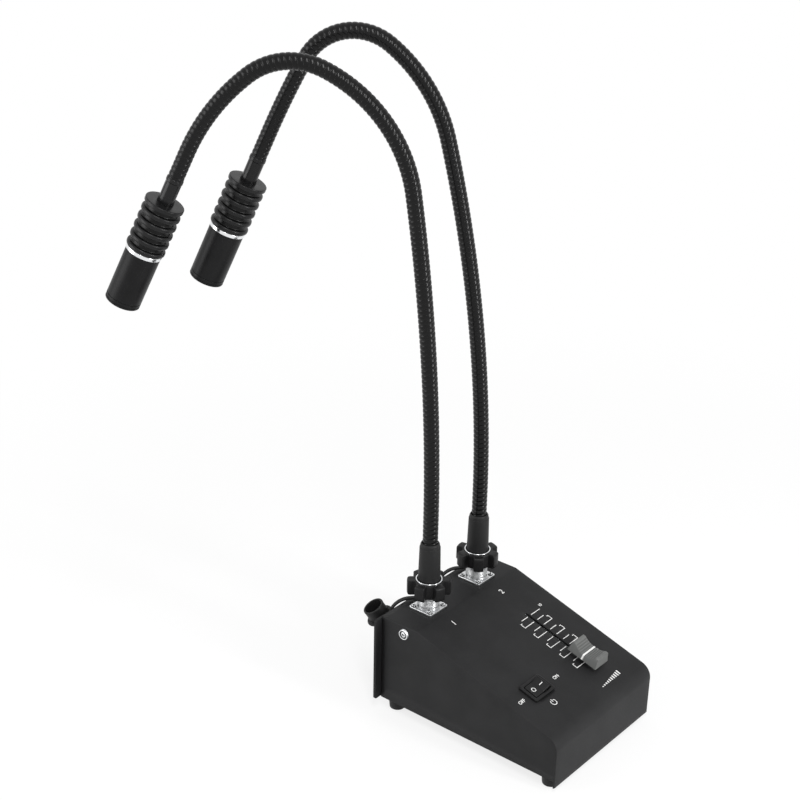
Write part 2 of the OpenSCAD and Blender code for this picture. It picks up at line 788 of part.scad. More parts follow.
// Nuts on the welded studs
module pot_nuts() {
    color("silver") for (e = [-1, 1]) on_slope(fader_x, slot_mid + e * stud_at)
        translate([0, 0, -pot_seat - pot_tab_t - stud_nut_h])
            hex_nut(stud_nut_w, stud_nut_h, stud_d + 2 * fit);
}

// Bezel on the slope, case through the cut-out, open well for the rocker
module switch_housing() {
    well_w = case_w - 2 * switch_wall;
    well_l = case_l - 2 * switch_wall;
    color([0.06, 0.06, 0.06]) on_slope(-switch_x, switch_up) difference() {
        union() {
            translate([-bezel_w / 2, -bezel_l / 2, 0]) cube([bezel_w, bezel_l, bezel_h]);
            translate([-case_w / 2, -case_l / 2, -switch_depth])
                cube([case_w, case_l, switch_depth + eps]);
        }
        translate([-well_w / 2, -well_l / 2, -switch_depth + 2])
            cube([well_w, well_l, switch_depth + past]);
        translate([0, 0, -pivot_down]) rotate([90, 0, 0])
            cylinder(d = pivot_d + 2 * running, h = rocker_l + 2 * clear + switch_wall, center = true);
    }
}

// Rocker with a shallow V on top, resting with its -X end pressed in
module switch_rocker() {
    top_mid = rocker_rise + pivot_down;
    top_end = top_mid + rocker_r * tan(rocker_tilt);
    color([0.07, 0.07, 0.07]) on_slope(-switch_x, switch_up) translate([0, 0, -pivot_down])
        rotate([0, -rocker_tilt, 0]) rotate([90, 0, 0]) {
            linear_extrude(rocker_l, center = true) intersection() {
                circle(rocker_r, $fn = 96);
                polygon([[-rocker_r, -rocker_deep], [rocker_r, -rocker_deep], [rocker_r, top_end],
                         [0, top_mid], [-rocker_r, top_end]]);
            }
            cylinder(d = pivot_d, h = rocker_l + 2 * clear + switch_wall - 2 * fit, center = true);
        }
}

module switch_terminals() {
    blade_w = 4.8;
    blade_down = 8;
    color([0.8, 0.68, 0.35]) on_slope(-switch_x, switch_up)
        for (e = [-1, 1]) translate([e * 4 - 0.4, -blade_w / 2, -switch_depth - blade_down])
            cube([0.8, blade_w, blade_down]);
}

// Circuit board with a hole over each standoff
module driver_board() {
    color([0.05, 0.32, 0.16]) translate([0, 0, plate_top + standoff_h]) difference() {
        translate([-board_w / 2, -board_d / 2, 0]) cube([board_w, board_d, board_t]);
        at_standoffs() translate([0, 0, -eps]) cylinder(d = screw_d + 2 * fit, h = board_t + 1);
    }
}

module at_standoffs() {
    at_four(board_w / 2 - standoff_inset, board_d / 2 - standoff_inset) children();
}

// Spacers under the board, each with the peg that holds it
module board_standoffs() {
    color("silver") translate([0, 0, plate_top]) at_standoffs() {
        cylinder(d = standoff_d, h = standoff_h);
        cylinder(d = screw_d, h = standoff_h + board_t + 1);
    }
}

// Choke, capacitors, driver chip and wire terminals on the board
module board_components() {
    back = board_d / 2 - standoff_inset * 2 - standoff_d;
    color([0.2, 0.2, 0.22]) translate([0, 0, plate_top + standoff_h + board_t]) {
        translate([0, back - choke_d, 0]) tube(choke_d, choke_d / 3, choke_h);
        for (e = [-1, 1]) translate([e * (choke_d + capacitor_d), back - choke_d, 0])
            cylinder(d = capacitor_d, h = capacitor_h);
        translate([-chip_s / 2, -board_d / 4, 0]) cube([chip_s, chip_s, chip_h]);
        for (e = [-1, 1]) translate([e * terminal_w - terminal_w / 2, back, 0])
            cube([terminal_w, terminal_d, terminal_h]);
    }
}

// Axis of the power inlet, +Z out of the rear panel's outer face
module inlet_axis() {
    translate([inlet_x, rear_y + panel_t, inlet_z]) rotate([-90, 0, 0]) children();
}

// Round inlet with a centre pin: square case inside, thread through the panel
module dc_inlet() {
    thread_out = 4.2;
    color([0.08, 0.08, 0.08]) inlet_axis() difference() {
        union() {
            translate([-inlet_case / 2, -inlet_case / 2, -panel_t - inlet_l])
                cube([inlet_case, inlet_case, inlet_l]);
            translate([0, 0, -panel_t - eps]) cylinder(d = inlet_d, h = panel_t + thread_out);
        }
        difference() {
            translate([0, 0, -panel_t - inlet_l / 2])
                cylinder(d = inlet_bore, h = panel_t + inlet_l / 2 + past);
            translate([0, 0, -panel_t - inlet_l]) cylinder(d = inlet_pin_d, h = panel_t + inlet_l + 2);
        }
    }
}

module dc_inlet_nut() {
    color("silver") inlet_axis() hex_nut(inlet_d + 3, 2, inlet_d + 2 * fit);
}

// Four screws a flange. The one at the rear corner towards -X also holds the strap's eyelet
module flange_screws() {
    half = flange_pitch / 2;
    color("silver") for (side = [LEFT, RIGHT]) on_socket(side)
        for (x = [-half, half], y = [-half, half])
            translate([x, y, flange_t + (x > 0 && y > 0 ? strap_t : 0)])
                pan_screw(flange_head_d, flange_head_h, flange_screw_d, screw_tail);
}

// Nuts under the land
module flange_nuts() {
    half = flange_pitch / 2;
    color("silver") for (side = [LEFT, RIGHT]) on_socket(side) at_four(half, half)
        translate([0, 0, -sheet - flange_nut_h])
            hex_nut(flange_nut_w, flange_nut_h, flange_screw_d + 2 * fit);
}

// Square flange with a raised centre and the threaded barrel
module socket(side) {
    color([0.82, 0.83, 0.85]) on_socket(side) difference() {
        union() {
            translate([-flange_s / 2, -flange_s / 2, 0]) cube([flange_s, flange_s, flange_t]);
            cylinder(d = raised_d, h = flange_t + raised_h);
            translate([0, 0, -socket_depth]) cylinder(d = barrel_d, h = socket_depth + barrel_h);
        }
        translate([0, 0, -socket_depth - eps])
            cylinder(d = barrel_bore, h = socket_depth + barrel_h + 2 * eps);
        at_four(flange_pitch / 2, flange_pitch / 2) translate([0, 0, -eps])
            cylinder(d = flange_screw_d + 2 * fit, h = flange_t + 1);
    }
}

// Insulator in the barrel, with its contact pins
module socket_insert(side) {
    insert_top = 3;
    color([0.1, 0.1, 0.1]) on_socket(side) {
        translate([0, 0, -socket_depth])
            cylinder(d = barrel_bore - fit, h = socket_depth + insert_top);
        for (a = [0, 120, 240]) rotate(a) translate([2.8, 0, insert_top - eps])
            cylinder(d = 1.4, h = 3);
    }
}

// Plug: contact nose in the barrel, stop on its rim, neck up through the ring
module plug_shell(side) {
    nose_l = 4;
    color([0.7, 0.71, 0.73]) on_socket(side) difference() {
        union() {
            translate([0, 0, barrel_h - nose_l]) cylinder(d = nose_d, h = nose_l + eps);
            translate([0, 0, barrel_h]) cylinder(d = barrel_d, h = plug_stop_t);
            translate([0, 0, plug_stop_top - eps])
                cylinder(d = plug_neck_d, h = stem_foot - plug_stop_top + eps);
        }
        translate([0, 0, barrel_h - nose_l - eps])
            cylinder(d = neck_bore, h = stem_foot - barrel_h + nose_l + 2 * eps);
    }
}

// Flat-ended lobe with rounded corners, out along +X
module ring_lobe() {
    reach = ring_d / 2;
    translate([0, -lobe_w / 2]) square([reach - lobe_r, lobe_w]);
    translate([0, lobe_r - lobe_w / 2]) square([reach, lobe_w - 2 * lobe_r]);
    for (e = [-1, 1]) translate([reach - lobe_r, e * (lobe_w / 2 - lobe_r)]) circle(lobe_r);
}

// Hand ring with lobes: bore over the barrel, shoulder over the plug's stop, open mouth
module coupling_ring(side) {
    first_lobe = side == LEFT ? left_lobe : right_lobe;
    color([0.06, 0.06, 0.06]) on_socket(side) difference() {
        translate([0, 0, ring_lift]) linear_extrude(ring_h) {
            circle(d = ring_core_d);
            for (k = [0:lobe_count - 1]) rotate(first_lobe + k * 360 / lobe_count) ring_lobe();
        }
        cylinder(d = barrel_d + 2 * fit + 2 * clear, h = plug_stop_top + clear);
        cylinder(d = plug_neck_d + 2 * clear, h = ring_top + 1);
        translate([0, 0, shoulder_top]) cylinder(d = rim_d, h = ring_top);
    }
}

// Bright rim pressed into the ring's mouth
module ring_rim(side) {
    color([0.86, 0.87, 0.88]) on_socket(side) translate([0, 0, shoulder_top])
        tube(rim_d, rim_d - 2 * rim_wall, ring_top - shoulder_top + rim_proud);
}

// Tapered boot round the neck's root, with a narrower collar at its top
module boot(side) {
    foot = shoulder_top + clear;
    chamfer_h = 1.2;
    chamfer_in = 0.5;
    collar_r = boot_collar_d / 2;
    color([0.07, 0.07, 0.07]) on_socket(side) difference() {
        rotate_extrude() polygon([
            [0, foot], [boot_d / 2, foot], [boot_top_d / 2, boot_h - boot_collar_h],
            [collar_r, boot_h - boot_collar_h], [collar_r, boot_h - chamfer_h],
            [collar_r - chamfer_in, boot_h], [0, boot_h]
        ]);
        translate([0, 0, foot - eps]) cylinder(d = plug_neck_d + 2 * fit, h = stem_foot - foot + eps);
        translate([0, 0, foot]) cylinder(d = stem_d + 2 * fit, h = boot_h);
    }
}

// Ribbed hose between two stations: outer rings forward, bore rings back, joined end to end
module ribbed_hose(side, from, to) {
    ribs = max(2, round((to - from) / rib_pitch));
    step = (to - from) / (2 * ribs);
    crest = neck_d / 2;
    groove = neck_groove_d / 2;
    outer = [for (i = [0:2 * ribs]) neck_ring(side, from + i * step, i % 2 == 0 ? groove : crest)];
    bore = [for (i = [0:bore_rings - 1])
        neck_ring(side, to - (to - from) * i / (bore_rings - 1), neck_bore / 2 + 0.4)];
    rings = concat(outer, bore);
    count = len(rings);
    points = [for (ring = rings, p = ring) p];
    function at(i, k) = (i % count) * neck_sides + k % neck_sides;
    faces = [for (i = [0:count - 1], k = [0:neck_sides - 1], half = [0, 1])
        half == 0
            ? [at(i, k), at(i + 1, k + 1), at(i, k + 1)]
            : [at(i, k), at(i + 1, k), at(i + 1, k + 1)]];
    polyhedron(points, faces);
}

// Lower half of a knuckle: ball on a waist, with a plain collar, bored through
module knuckle_ball() {
    rotate_extrude() difference() {
        union() {
            intersection() {
                circle(ball_r, $fn = 96);
                translate([0, -ball_r]) square([ball_r, 2 * ball_r]);
            }
            translate([0, -waist_l - eps]) square([waist_d / 2, waist_l]);
            translate([0, -waist_l - collar_l]) square([collar_d / 2, collar_l]);
        }
        translate([-past, -past]) square([past + neck_bore / 2, 2 * past]);
    }
}

// Upper half of a knuckle: cup over the ball, tapering to the hose, bored through
module knuckle_cup() {
    rotate_extrude() difference() {
        polygon([[0, cup_rim], [cup_d / 2, cup_rim], [collar_d / 2, cup_l], [0, cup_l]]);
        circle(cup_r, $fn = 96);
        translate([-past, -past]) square([past + neck_bore / 2, 2 * past]);
    }
}

module neck_color() {
    color([0.07, 0.07, 0.075]) children();
}

// Plain stem in the boot, then the hose up to the first knuckle's ball
module neck_root(side) {
    neck_color() {
        on_socket(side) translate([0, 0, stem_foot]) tube(stem_d, neck_bore, stem_top - stem_foot);
        ribbed_hose(side, stem_top - boot_h - bury, knuckles[0] - waist_l - collar_l + bury);
        on_neck(side, knuckles[0]) knuckle_ball();
    }
}

// Hose from one knuckle's cup to the next knuckle's ball
module neck_link(side, i) {
    neck_color() {
        on_neck(side, knuckles[i - 1]) knuckle_cup();
        ribbed_hose(side, knuckles[i - 1] + cup_l - bury, knuckles[i] - waist_l - collar_l + bury);
        on_neck(side, knuckles[i]) knuckle_ball();
    }
}

// Last hose, crimped into the smooth ferrule that the lamp head sits on
module neck_tip_link(side) {
    last = knuckles[len(knuckles) - 1];
    neck_color() {
        on_neck(side, last) knuckle_cup();
        ribbed_hose(side, last + cup_l - bury, ferrule_at + bury);
        on_neck(side, ferrule_at) {
            tube(ferrule_d, neck_bore, ferrule_l + ferrule_seat);
            tube(collar_d, neck_bore, bury + 1);
        }
    }
}

// Turned heat sink: top disc, round-edged fins on a core, spigot into the barrel
module heat_sink(side) {
    fin_step = (sink_l - sink_top_t) / fin_count;
    color([0.08, 0.08, 0.085]) on_head(side) rotate_extrude() difference() {
        union() {
            square([sink_core_d / 2, sink_l]);
            square([sink_d / 2, sink_top_t]);
            for (k = [1:fin_count]) translate([0, sink_top_t + k * fin_step - fin_t]) {
                square([(sink_d - fin_t) / 2, fin_t]);
                translate([(sink_d - fin_t) / 2, fin_t / 2]) circle(d = fin_t);
            }
            square([head_bore / 2 - fit, board_at]);
        }
        translate([-past, -past]) square([past + wire_bore / 2, board_at + 2 * past]);
        translate([-past, -past]) square([past + ferrule_d / 2 + fit, past + ferrule_seat]);
    }
}

module trim_ring(side) {
    color([0.88, 0.89, 0.9]) on_head(side) translate([0, 0, sink_l])
        tube(trim_d, head_bore, trim_w);
}

// Barrel with a lip over the lens and a fine groove near its end
module lens_barrel(side) {
    wall_r = head_d / 2;
    color([0.07, 0.07, 0.075]) on_head(side) translate([0, 0, barrel_at]) rotate_extrude() difference() {
        translate([head_bore / 2 - lip_in, 0]) square([head_wall + lip_in, head_l]);
        translate([0, -1]) square([head_bore / 2, head_l - lip_t + 1]);
        translate([wall_r - groove_deep, head_l - groove_up]) square([1, 0.8]);
    }
}

// Solid collimator: cone that widens to a rim, hollowed over the light source
module lens(side) {
    rim_r = head_bore / 2 - fit;
    color([0.85, 0.88, 0.92, 0.5]) on_head(side) translate([0, 0, lens_at]) rotate_extrude() difference() {
        polygon([[0, 0], [lens_foot_d / 2, 0], [rim_r, lens_h - lens_rim], [rim_r, lens_h], [0, lens_h]]);
        translate([-1, -1]) square([led_dome_d / 2 + clear + 1, dome_deep + clear + 1]);
    }
}

// Round board with the light source's dome
module led_board(side) {
    color([0.9, 0.85, 0.5]) on_head(side) translate([0, 0, board_at]) {
        cylinder(d = head_bore - 2 * fit, h = led_board_t);
        cylinder(d = led_dome_d, h = led_board_t + dome_deep);
    }
}

// Hanging cap's frame: the loop's centre, +Z out of the cap's mouth
module on_loop(side) {
    eyelet = [flange_pitch / 2, flange_pitch / 2, strap_end_z];
    out = [-sin(strap_aim), cos(strap_aim), tan(cap_lean) * sin(strap_aim - cap_azimuth)];
    on_socket(side)
        translate(eyelet + strap_run * [out[0], out[1], 0] + loop_reach * unit(out))
            rotate([0, cap_lean, cap_azimuth]) translate([0, 0, -strap_t / 2]) children();
}

// Strap's frame: on its flange screw, +Y along the strap
module on_strap(side) {
    on_socket(side) translate([flange_pitch / 2, flange_pitch / 2, 0]) rotate([0, 0, strap_aim])
        children();
}

// Moulded cup, hung with its mouth up
module dust_cap(side) {
    color([0.05, 0.05, 0.05]) on_loop(side) translate([0, 0, -loop_up]) difference() {
        union() {
            cylinder(d = cap_outer_d - 4 * fit, h = cap_len);
            translate([0, 0, loop_up + strap_t]) cylinder(d = cap_outer_d, h = cap_len - loop_up - strap_t);
            cylinder(d = cap_outer_d, h = loop_up - fit);
        }
        translate([0, 0, cap_floor]) cylinder(d = cap_outer_d - 2 * cap_wall, h = cap_len);
    }
}

// Eyelet under a flange screw, band over the rear edge, loop round the cap
module cap_strap(side) {
    color([0.05, 0.05, 0.05]) {
        on_strap(side) {
            difference() {
                union() {
                    translate([0, 0, strap_up]) cylinder(d = eyelet_d, h = strap_t);
                    translate([-strap_w / 2, 0, strap_up]) cube([strap_w, strap_flat, strap_t]);
                }
                cylinder(d = flange_screw_d + 2 * fit, h = 2 * flange_t + strap_t);
            }
            translate([0, strap_flat, strap_mid - strap_bend]) rotate([90, 0, 90])
                translate([0, 0, -strap_w / 2]) rotate([0, 0, 90 - strap_turn])
                    rotate_extrude(angle = strap_turn) translate([strap_bend - strap_t / 2, 0])
                        square([strap_t, strap_w]);
        }
        on_loop(side) tube(loop_d, loop_bore, strap_t);
    }
}

// The two lamps' pieces, one for each side
module socket_left() {
    socket(LEFT);
}

module socket_insert_left() {
    socket_insert(LEFT);
}

module dust_cap_left() {
    dust_cap(LEFT);
}

module cap_strap_left() {
    cap_strap(LEFT);
}

module plug_shell_left() {
    plug_shell(LEFT);
}

module coupling_ring_left() {
    coupling_ring(LEFT);
}

module ring_rim_left() {
    ring_rim(LEFT);
}

module boot_left() {
    boot(LEFT);
}

module neck_root_left() {
    neck_root(LEFT);
}

module neck_link_1_left() {
    neck_link(LEFT, 1);
}

module neck_link_2_left() {
    neck_link(LEFT, 2);
}

module neck_link_3_left() {
    neck_link(LEFT, 3);
}

module neck_link_4_left() {
    neck_link(LEFT, 4);
}

module neck_tip_left() {
    neck_tip_link(LEFT);
}

module heat_sink_left() {
    heat_sink(LEFT);
}

module trim_ring_left() {
    trim_ring(LEFT);
}

module lens_barrel_left() {
    lens_barrel(LEFT);
}

module lens_left() {
    lens(LEFT);
}

module led_board_left() {
    led_board(LEFT);
}

module socket_right() {
    socket(RIGHT);
}

module socket_insert_right() {
    socket_insert(RIGHT);
}

module dust_cap_right() {
    dust_cap(RIGHT);
}

module cap_strap_right() {
    cap_strap(RIGHT);
}

module plug_shell_right() {
    plug_shell(RIGHT);
}

module coupling_ring_right() {
    coupling_ring(RIGHT);
}

module ring_rim_right() {
    ring_rim(RIGHT);
}

module boot_right() {
    boot(RIGHT);
}

module neck_root_right() {
    neck_root(RIGHT);
}

module neck_link_1_right() {
    neck_link(RIGHT, 1);
}

module neck_link_2_right() {
    neck_link(RIGHT, 2);
}

module neck_link_3_right() {
    neck_link(RIGHT, 3);
}

module neck_link_4_right() {
    neck_link(RIGHT, 4);
}

module neck_tip_right() {
    neck_tip_link(RIGHT);
}

module heat_sink_right() {
    heat_sink(RIGHT);
}

module trim_ring_right() {
    trim_ring(RIGHT);
}

module lens_barrel_right() {
    lens_barrel(RIGHT);
}

module lens_right() {
    lens(RIGHT);
}

module led_board_right() {
    led_board(RIGHT);
}

top_cover();
base_plate();
rear_panel();
rear_screws();
rubber_feet();
cover_screws();
cup_washers();
slide_pot_body();
slide_pot_lever();
fader_cap();
pot_nuts();
switch_housing();
switch_rocker();
switch_terminals();
driver_board();
board_standoffs();
board_components();
dc_inlet();
dc_inlet_nut();
flange_screws();
flange_nuts();
socket_left();
socket_insert_left();
dust_cap_left();
cap_strap_left();
plug_shell_left();
coupling_ring_left();
ring_rim_left();
boot_left();
neck_root_left();
neck_link_1_left();
neck_link_2_left();
neck_link_3_left();
neck_link_4_left();
neck_tip_left();
heat_sink_left();
trim_ring_left();
lens_barrel_left();
lens_left();
led_board_left();
socket_right();
socket_insert_right();
dust_cap_right();
cap_strap_right();
plug_shell_right();
coupling_ring_right();
ring_rim_right();
boot_right();
neck_root_right();
neck_link_1_right();
neck_link_2_right();
neck_link_3_right();
neck_link_4_right();
neck_tip_right();
heat_sink_right();
trim_ring_right();
lens_barrel_right();
lens_right();
led_board_right();
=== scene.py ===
import math

import bmesh
import bpy
import numpy as np
from bpy.props import FloatProperty, FloatVectorProperty, IntProperty, PointerProperty
from mathutils import Matrix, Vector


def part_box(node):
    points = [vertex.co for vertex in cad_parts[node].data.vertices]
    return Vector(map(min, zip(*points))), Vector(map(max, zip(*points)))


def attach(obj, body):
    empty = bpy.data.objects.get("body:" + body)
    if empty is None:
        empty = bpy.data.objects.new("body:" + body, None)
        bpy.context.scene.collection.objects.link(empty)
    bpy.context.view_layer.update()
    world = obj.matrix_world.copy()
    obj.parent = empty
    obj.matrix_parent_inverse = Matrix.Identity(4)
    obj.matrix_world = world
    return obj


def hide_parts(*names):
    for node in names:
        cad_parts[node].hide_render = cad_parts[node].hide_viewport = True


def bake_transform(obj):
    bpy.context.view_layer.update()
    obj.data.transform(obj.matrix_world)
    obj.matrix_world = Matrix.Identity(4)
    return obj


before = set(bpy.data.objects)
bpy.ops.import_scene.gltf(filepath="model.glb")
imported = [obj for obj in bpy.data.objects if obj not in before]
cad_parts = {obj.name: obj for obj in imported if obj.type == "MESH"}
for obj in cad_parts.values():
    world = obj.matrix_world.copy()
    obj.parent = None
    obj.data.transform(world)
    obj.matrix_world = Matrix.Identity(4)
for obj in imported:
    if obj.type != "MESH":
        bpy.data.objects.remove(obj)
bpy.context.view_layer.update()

bl_info = {
    "name": "Gooseneck Illuminator",
    "version": (1, 0, 0),
    "blender": (4, 5, 0),
    "location": "View3D > Sidebar > Illuminator",
    "description": "Dresses a bench illuminator with two gooseneck lamps",
    "category": "Object",
}

MM = 0.001
TURN = 2 * math.pi
QUARTER = math.pi / 2
LEFT, RIGHT = -1, 1
SIDE_NAMES = {LEFT: "left", RIGHT: "right"}
X, Y, UP = (1, 0, 0), (0, 1, 0), np.array([0.0, 0.0, 1.0])


# Settings that a user would change

def length(name, text, millimetres):
    return FloatProperty(name=name, description=text, default=millimetres * MM, unit="LENGTH", precision=5)


def angle(name, text, degrees):
    return FloatProperty(name=name, description=text, default=math.radians(degrees), subtype="ANGLE")


def colour(name, text, rgb):
    return FloatVectorProperty(name=name, description=text, default=rgb, size=3, min=0, max=1,
                               subtype="COLOR")


def power(name, text, watts):
    return FloatProperty(name=name, description=text, default=watts, unit="POWER")


class HousingSettings(bpy.types.PropertyGroup):
    """Sheet-metal housing"""
    width: length("Width", "Across the side walls", 110)
    depth: length("Depth", "From the front wall to the rear panel", 141)
    land_height: length("Land height", "Level rear part above the floor", 72)
    front_height: length("Front height", "Corner of front wall and slope above the floor", 38)
    land_depth: length("Land depth", "Level rear part, front to back", 29)
    sheet: length("Sheet", "Thickness of the bent sheet", 1.5)
    front_bend: length("Front bend", "Radius between front wall and slope", 10)
    ridge_bend: length("Ridge bend", "Radius between slope and land", 8)
    edge: length("Edge", "Radius along the side edges", 1.0)
    side_lift: length("Side lift", "Lower edge of the side walls above the floor", 8.4)
    front_lift: length("Front lift", "Lower edge of the front wall above the floor", 3.5)
    slot_width: length("Slot width", "Slot that the fader runs in", 2.4)


class ControlSettings(bpy.types.PropertyGroup):
    """Fader, rocker switch and printed marks on the slope"""
    fader_x: length("Fader place", "Slot from the middle of the housing", 23)
    fader_low: length("Lowest setting", "Up the slope from the front corner", 33)
    travel: length("Travel", "Fader from lowest to highest setting", 48.5)
    cap_length: length("Cap length", "Foot of the finger cap along the slot", 23.2)
    cap_width: length("Cap width", "Foot of the finger cap across the slot", 14.6)
    cap_height: length("Cap height", "Raised ends of the finger cap above its foot", 7.2)
    cap_hollow: length("Cap hollow", "Depth of the finger hollow", 3.4)
    cap_gap: length("Cap gap", "Foot of the finger cap above the slope", 3.8)
    end_draft: length("End draft", "How far the cap's ends lean in", 1.4)
    side_draft: length("Side draft", "How far the cap's sides lean in", 1.3)
    switch_x: length("Switch place", "Switch from the middle of the housing", 27.9)
    switch_up: length("Switch up", "Switch centre up the slope from the front corner", 36.6)
    bezel_width: length("Bezel width", "Switch bezel across the slope", 21)
    bezel_length: length("Bezel length", "Switch bezel up the slope", 15)
    rocker_tilt: angle("Rocker tilt", "Rocker from level at rest", 11)
    print_lift: length("Print thickness", "Printed marks above the paint", 0.04)


class CouplingSettings(bpy.types.PropertyGroup):
    """Sockets, coupling rings, boots and dust caps"""
    place: length("Socket place", "Sockets from the middle of the housing", 26.4)
    back: length("Socket back", "Sockets from the rear panel", 16)
    flange: length("Flange", "Side of the square flange", 18.6)
    flange_thick: length("Flange thickness", "Square flange above the land", 1.6)
    screw_pitch: length("Screw pitch", "Flange screws along each side", 13.8)
    barrel: length("Barrel", "Diameter of the threaded barrel", 14.6)
    barrel_height: length("Barrel height", "Top of the threaded barrel above the land", 15.5)
    thread: length("Thread", "Pitch of the barrel's thread", 1.0)
    ring: length("Ring", "Diameter over the coupling ring's lobes", 29.2)
    ring_lift: length("Ring lift", "Coupling ring above the land", 11.5)
    ring_height: length("Ring height", "Coupling ring, bottom to top", 10.6)
    rim: length("Rim", "Diameter of the bright rim", 17.8)
    boot: length("Boot", "Diameter of the boot at the ring", 15)
    boot_top: length("Boot top", "Diameter of the boot below its collar", 13.8)
    boot_height: length("Boot height", "Top of the boot above the land", 49.6)
    cap: length("Dust cap", "Diameter of a dust cap", 14.6)
    strap: length("Strap", "Thickness of the dust cap's strap", 1.2)
    strap_width: length("Strap width", "Width of the dust cap's strap", 3.4)
    strap_aim: angle("Strap direction", "From straight back towards the left", 48.6)


class NeckSettings(bpy.types.PropertyGroup):
    """Wound goosenecks"""
    crest: length("Crest", "Diameter over the windings", 10.16)
    groove: length("Groove", "Diameter in the grooves", 9.1)
    bore: length("Bore", "Inside diameter", 4.8)
    pitch: length("Pitch", "From winding to winding", 3.3)
    total: length("Length", "From the boot to the lamp head", 468)
    soft: length("Bend length", "Stretch over which a knuckle's turn is spread", 44)
    sides: IntProperty(name="Sides", description="Points round the neck", default=28, min=12, max=64)


class HeadSettings(bpy.types.PropertyGroup):
    """Lamp heads"""
    ferrule: length("Ferrule", "Diameter of the smooth ferrule", 10.6)
    ferrule_length: length("Ferrule length", "Smooth ferrule above the heat sink", 17)
    sink: length("Heat sink", "Diameter over the fins", 25)
    sink_length: length("Heat sink length", "Finned stretch", 33.3)
    core: length("Core", "Diameter between the fins", 20.5)
    fins: IntProperty(name="Fins", description="Round-edged fins below the top disc", default=5, min=3, max=6)
    trim: length("Trim", "Diameter of the bright trim ring", 23.6)
    trim_width: length("Trim width", "Bright trim ring along the head", 2.4)
    barrel: length("Barrel", "Diameter of the lens barrel", 22.6)
    barrel_length: length("Barrel length", "Lens barrel along the head", 36.4)


class FinishSettings(bpy.types.PropertyGroup):
    """Colours of the finishes"""
    powder: colour("Powder coat", "Textured paint of the housing", (0.0130, 0.0131, 0.0136))
    plastic: colour("Black plastic", "Coupling rings and switch", (0.0075, 0.0075, 0.0078))
    rubber: colour("Rubber", "Boots, dust caps and feet", (0.0100, 0.0100, 0.0102))
    hose: colour("Hose", "Wound goosenecks", (0.0022, 0.0022, 0.0023))
    anodised: colour("Anodised", "Lamp heads", (0.0065, 0.0065, 0.0068))
    chrome: colour("Chrome", "Flanges, rims and trim rings", (0.80, 0.81, 0.82))
    zinc: colour("Zinc", "Nuts and plug shells", (0.58, 0.59, 0.60))
    grey: colour("Grey plastic", "Fader's finger cap", (0.122, 0.125, 0.122))
    ink: colour("Ink", "Printed marks", (0.80, 0.80, 0.79))
    floor: colour("Floor", "Studio floor", (0.93, 0.93, 0.93))


class StudioSettings(bpy.types.PropertyGroup):
    """Camera and light"""
    distance: length("Camera distance", "From the aim point to the camera", 1419.12)
    focal: FloatProperty(name="Focal length", description="Camera lens", default=71.598, unit="CAMERA")
    azimuth: angle("Azimuth", "Camera round the object", -49.005)
    elevation: angle("Elevation", "Camera above the horizon", 26.392)
    roll: angle("Roll", "Camera about its own axis", 0.1973)
    key: power("Key light", "Power of the strip light in front", 8)
    top: power("Top light", "Power of the light overhead", 8)
    fill: power("Fill light", "Power of the light at the left", 9)


class IlluminatorSettings(bpy.types.PropertyGroup):
    """All settings of the illuminator"""
    housing: PointerProperty(type=HousingSettings)
    controls: PointerProperty(type=ControlSettings)
    coupling: PointerProperty(type=CouplingSettings)
    neck: PointerProperty(type=NeckSettings)
    head: PointerProperty(type=HeadSettings)
    finish: PointerProperty(type=FinishSettings)
    studio: PointerProperty(type=StudioSettings)


def settings():
    return bpy.context.scene.illuminator


# Frames: each is a 4x4 matrix that carries a piece's own axes into the part's frame

PANEL_THICK = 2 * MM
SIDE_SCREW_BACK, SIDE_SCREW_DOWN = 19 * MM, 6 * MM


def framed(origin, x=X, y=Y, z=UP):
    out = np.eye(4)
    out[:3, 0], out[:3, 1], out[:3, 2], out[:3, 3] = x, y, z, origin
    return out


def placed(place, points):
    """Every point turned and moved by the frame."""
    return points @ place[:3, :3].T + place[:3, 3]


def unit(vectors):
    """Each vector drawn out or in to a length of one."""
    return vectors / np.linalg.norm(vectors, axis=-1, keepdims=True)


def slope_angle():
    h = settings().housing
    return math.atan2(h.land_height - h.front_height, h.depth - h.land_depth)


def slope_frame(x, up):
    """On the slope: +Y up the slope, +Z out of it."""
    h, a = settings().housing, slope_angle()
    origin = (x, -h.depth / 2 + up * math.cos(a), h.front_height + up * math.sin(a))
    return framed(origin, X, (0, math.cos(a), math.sin(a)), (0, -math.sin(a), math.cos(a)))


def socket_frame(side):
    """On the land at a socket, +Z up."""
    s = settings()
    return framed((side * s.coupling.place, s.housing.depth / 2 - s.coupling.back, s.housing.land_height))


def side_screw_frame(side):
    """On a side wall at its screw, +Z out of it."""
    h = settings().housing
    origin = (side * h.width / 2, h.depth / 2 - SIDE_SCREW_BACK, h.land_height - SIDE_SCREW_DOWN)
    return framed(origin, (0, side, 0), UP, (side, 0, 0))


def rear_frame(x, z):
    """On the rear panel's outer face, +Z out of it."""
    return framed((x, settings().housing.depth / 2 + PANEL_THICK, z), (-1, 0, 0), UP, Y)


# Each neck's direction in degrees from +X, its runs of length in millimetres and turn in degrees, and the
# turn of its drop, which takes the rest of the length. It leaves the boot and meets the head straight
ROOT_RUN, TIP_RUN = 14 * MM, 34 * MM
NECK_RUNS = {
    LEFT: (122.5, ((218.5, 8.3), (92.7, 56.3), (47.2, 63.0)), 27.2),
    RIGHT: (122.6, ((241.3, 13.6), (68.4, 38.2), (59.5, 99.2)), 5.0),
}
PAST_TIP = 1.0
NO_TURN = 1e-9


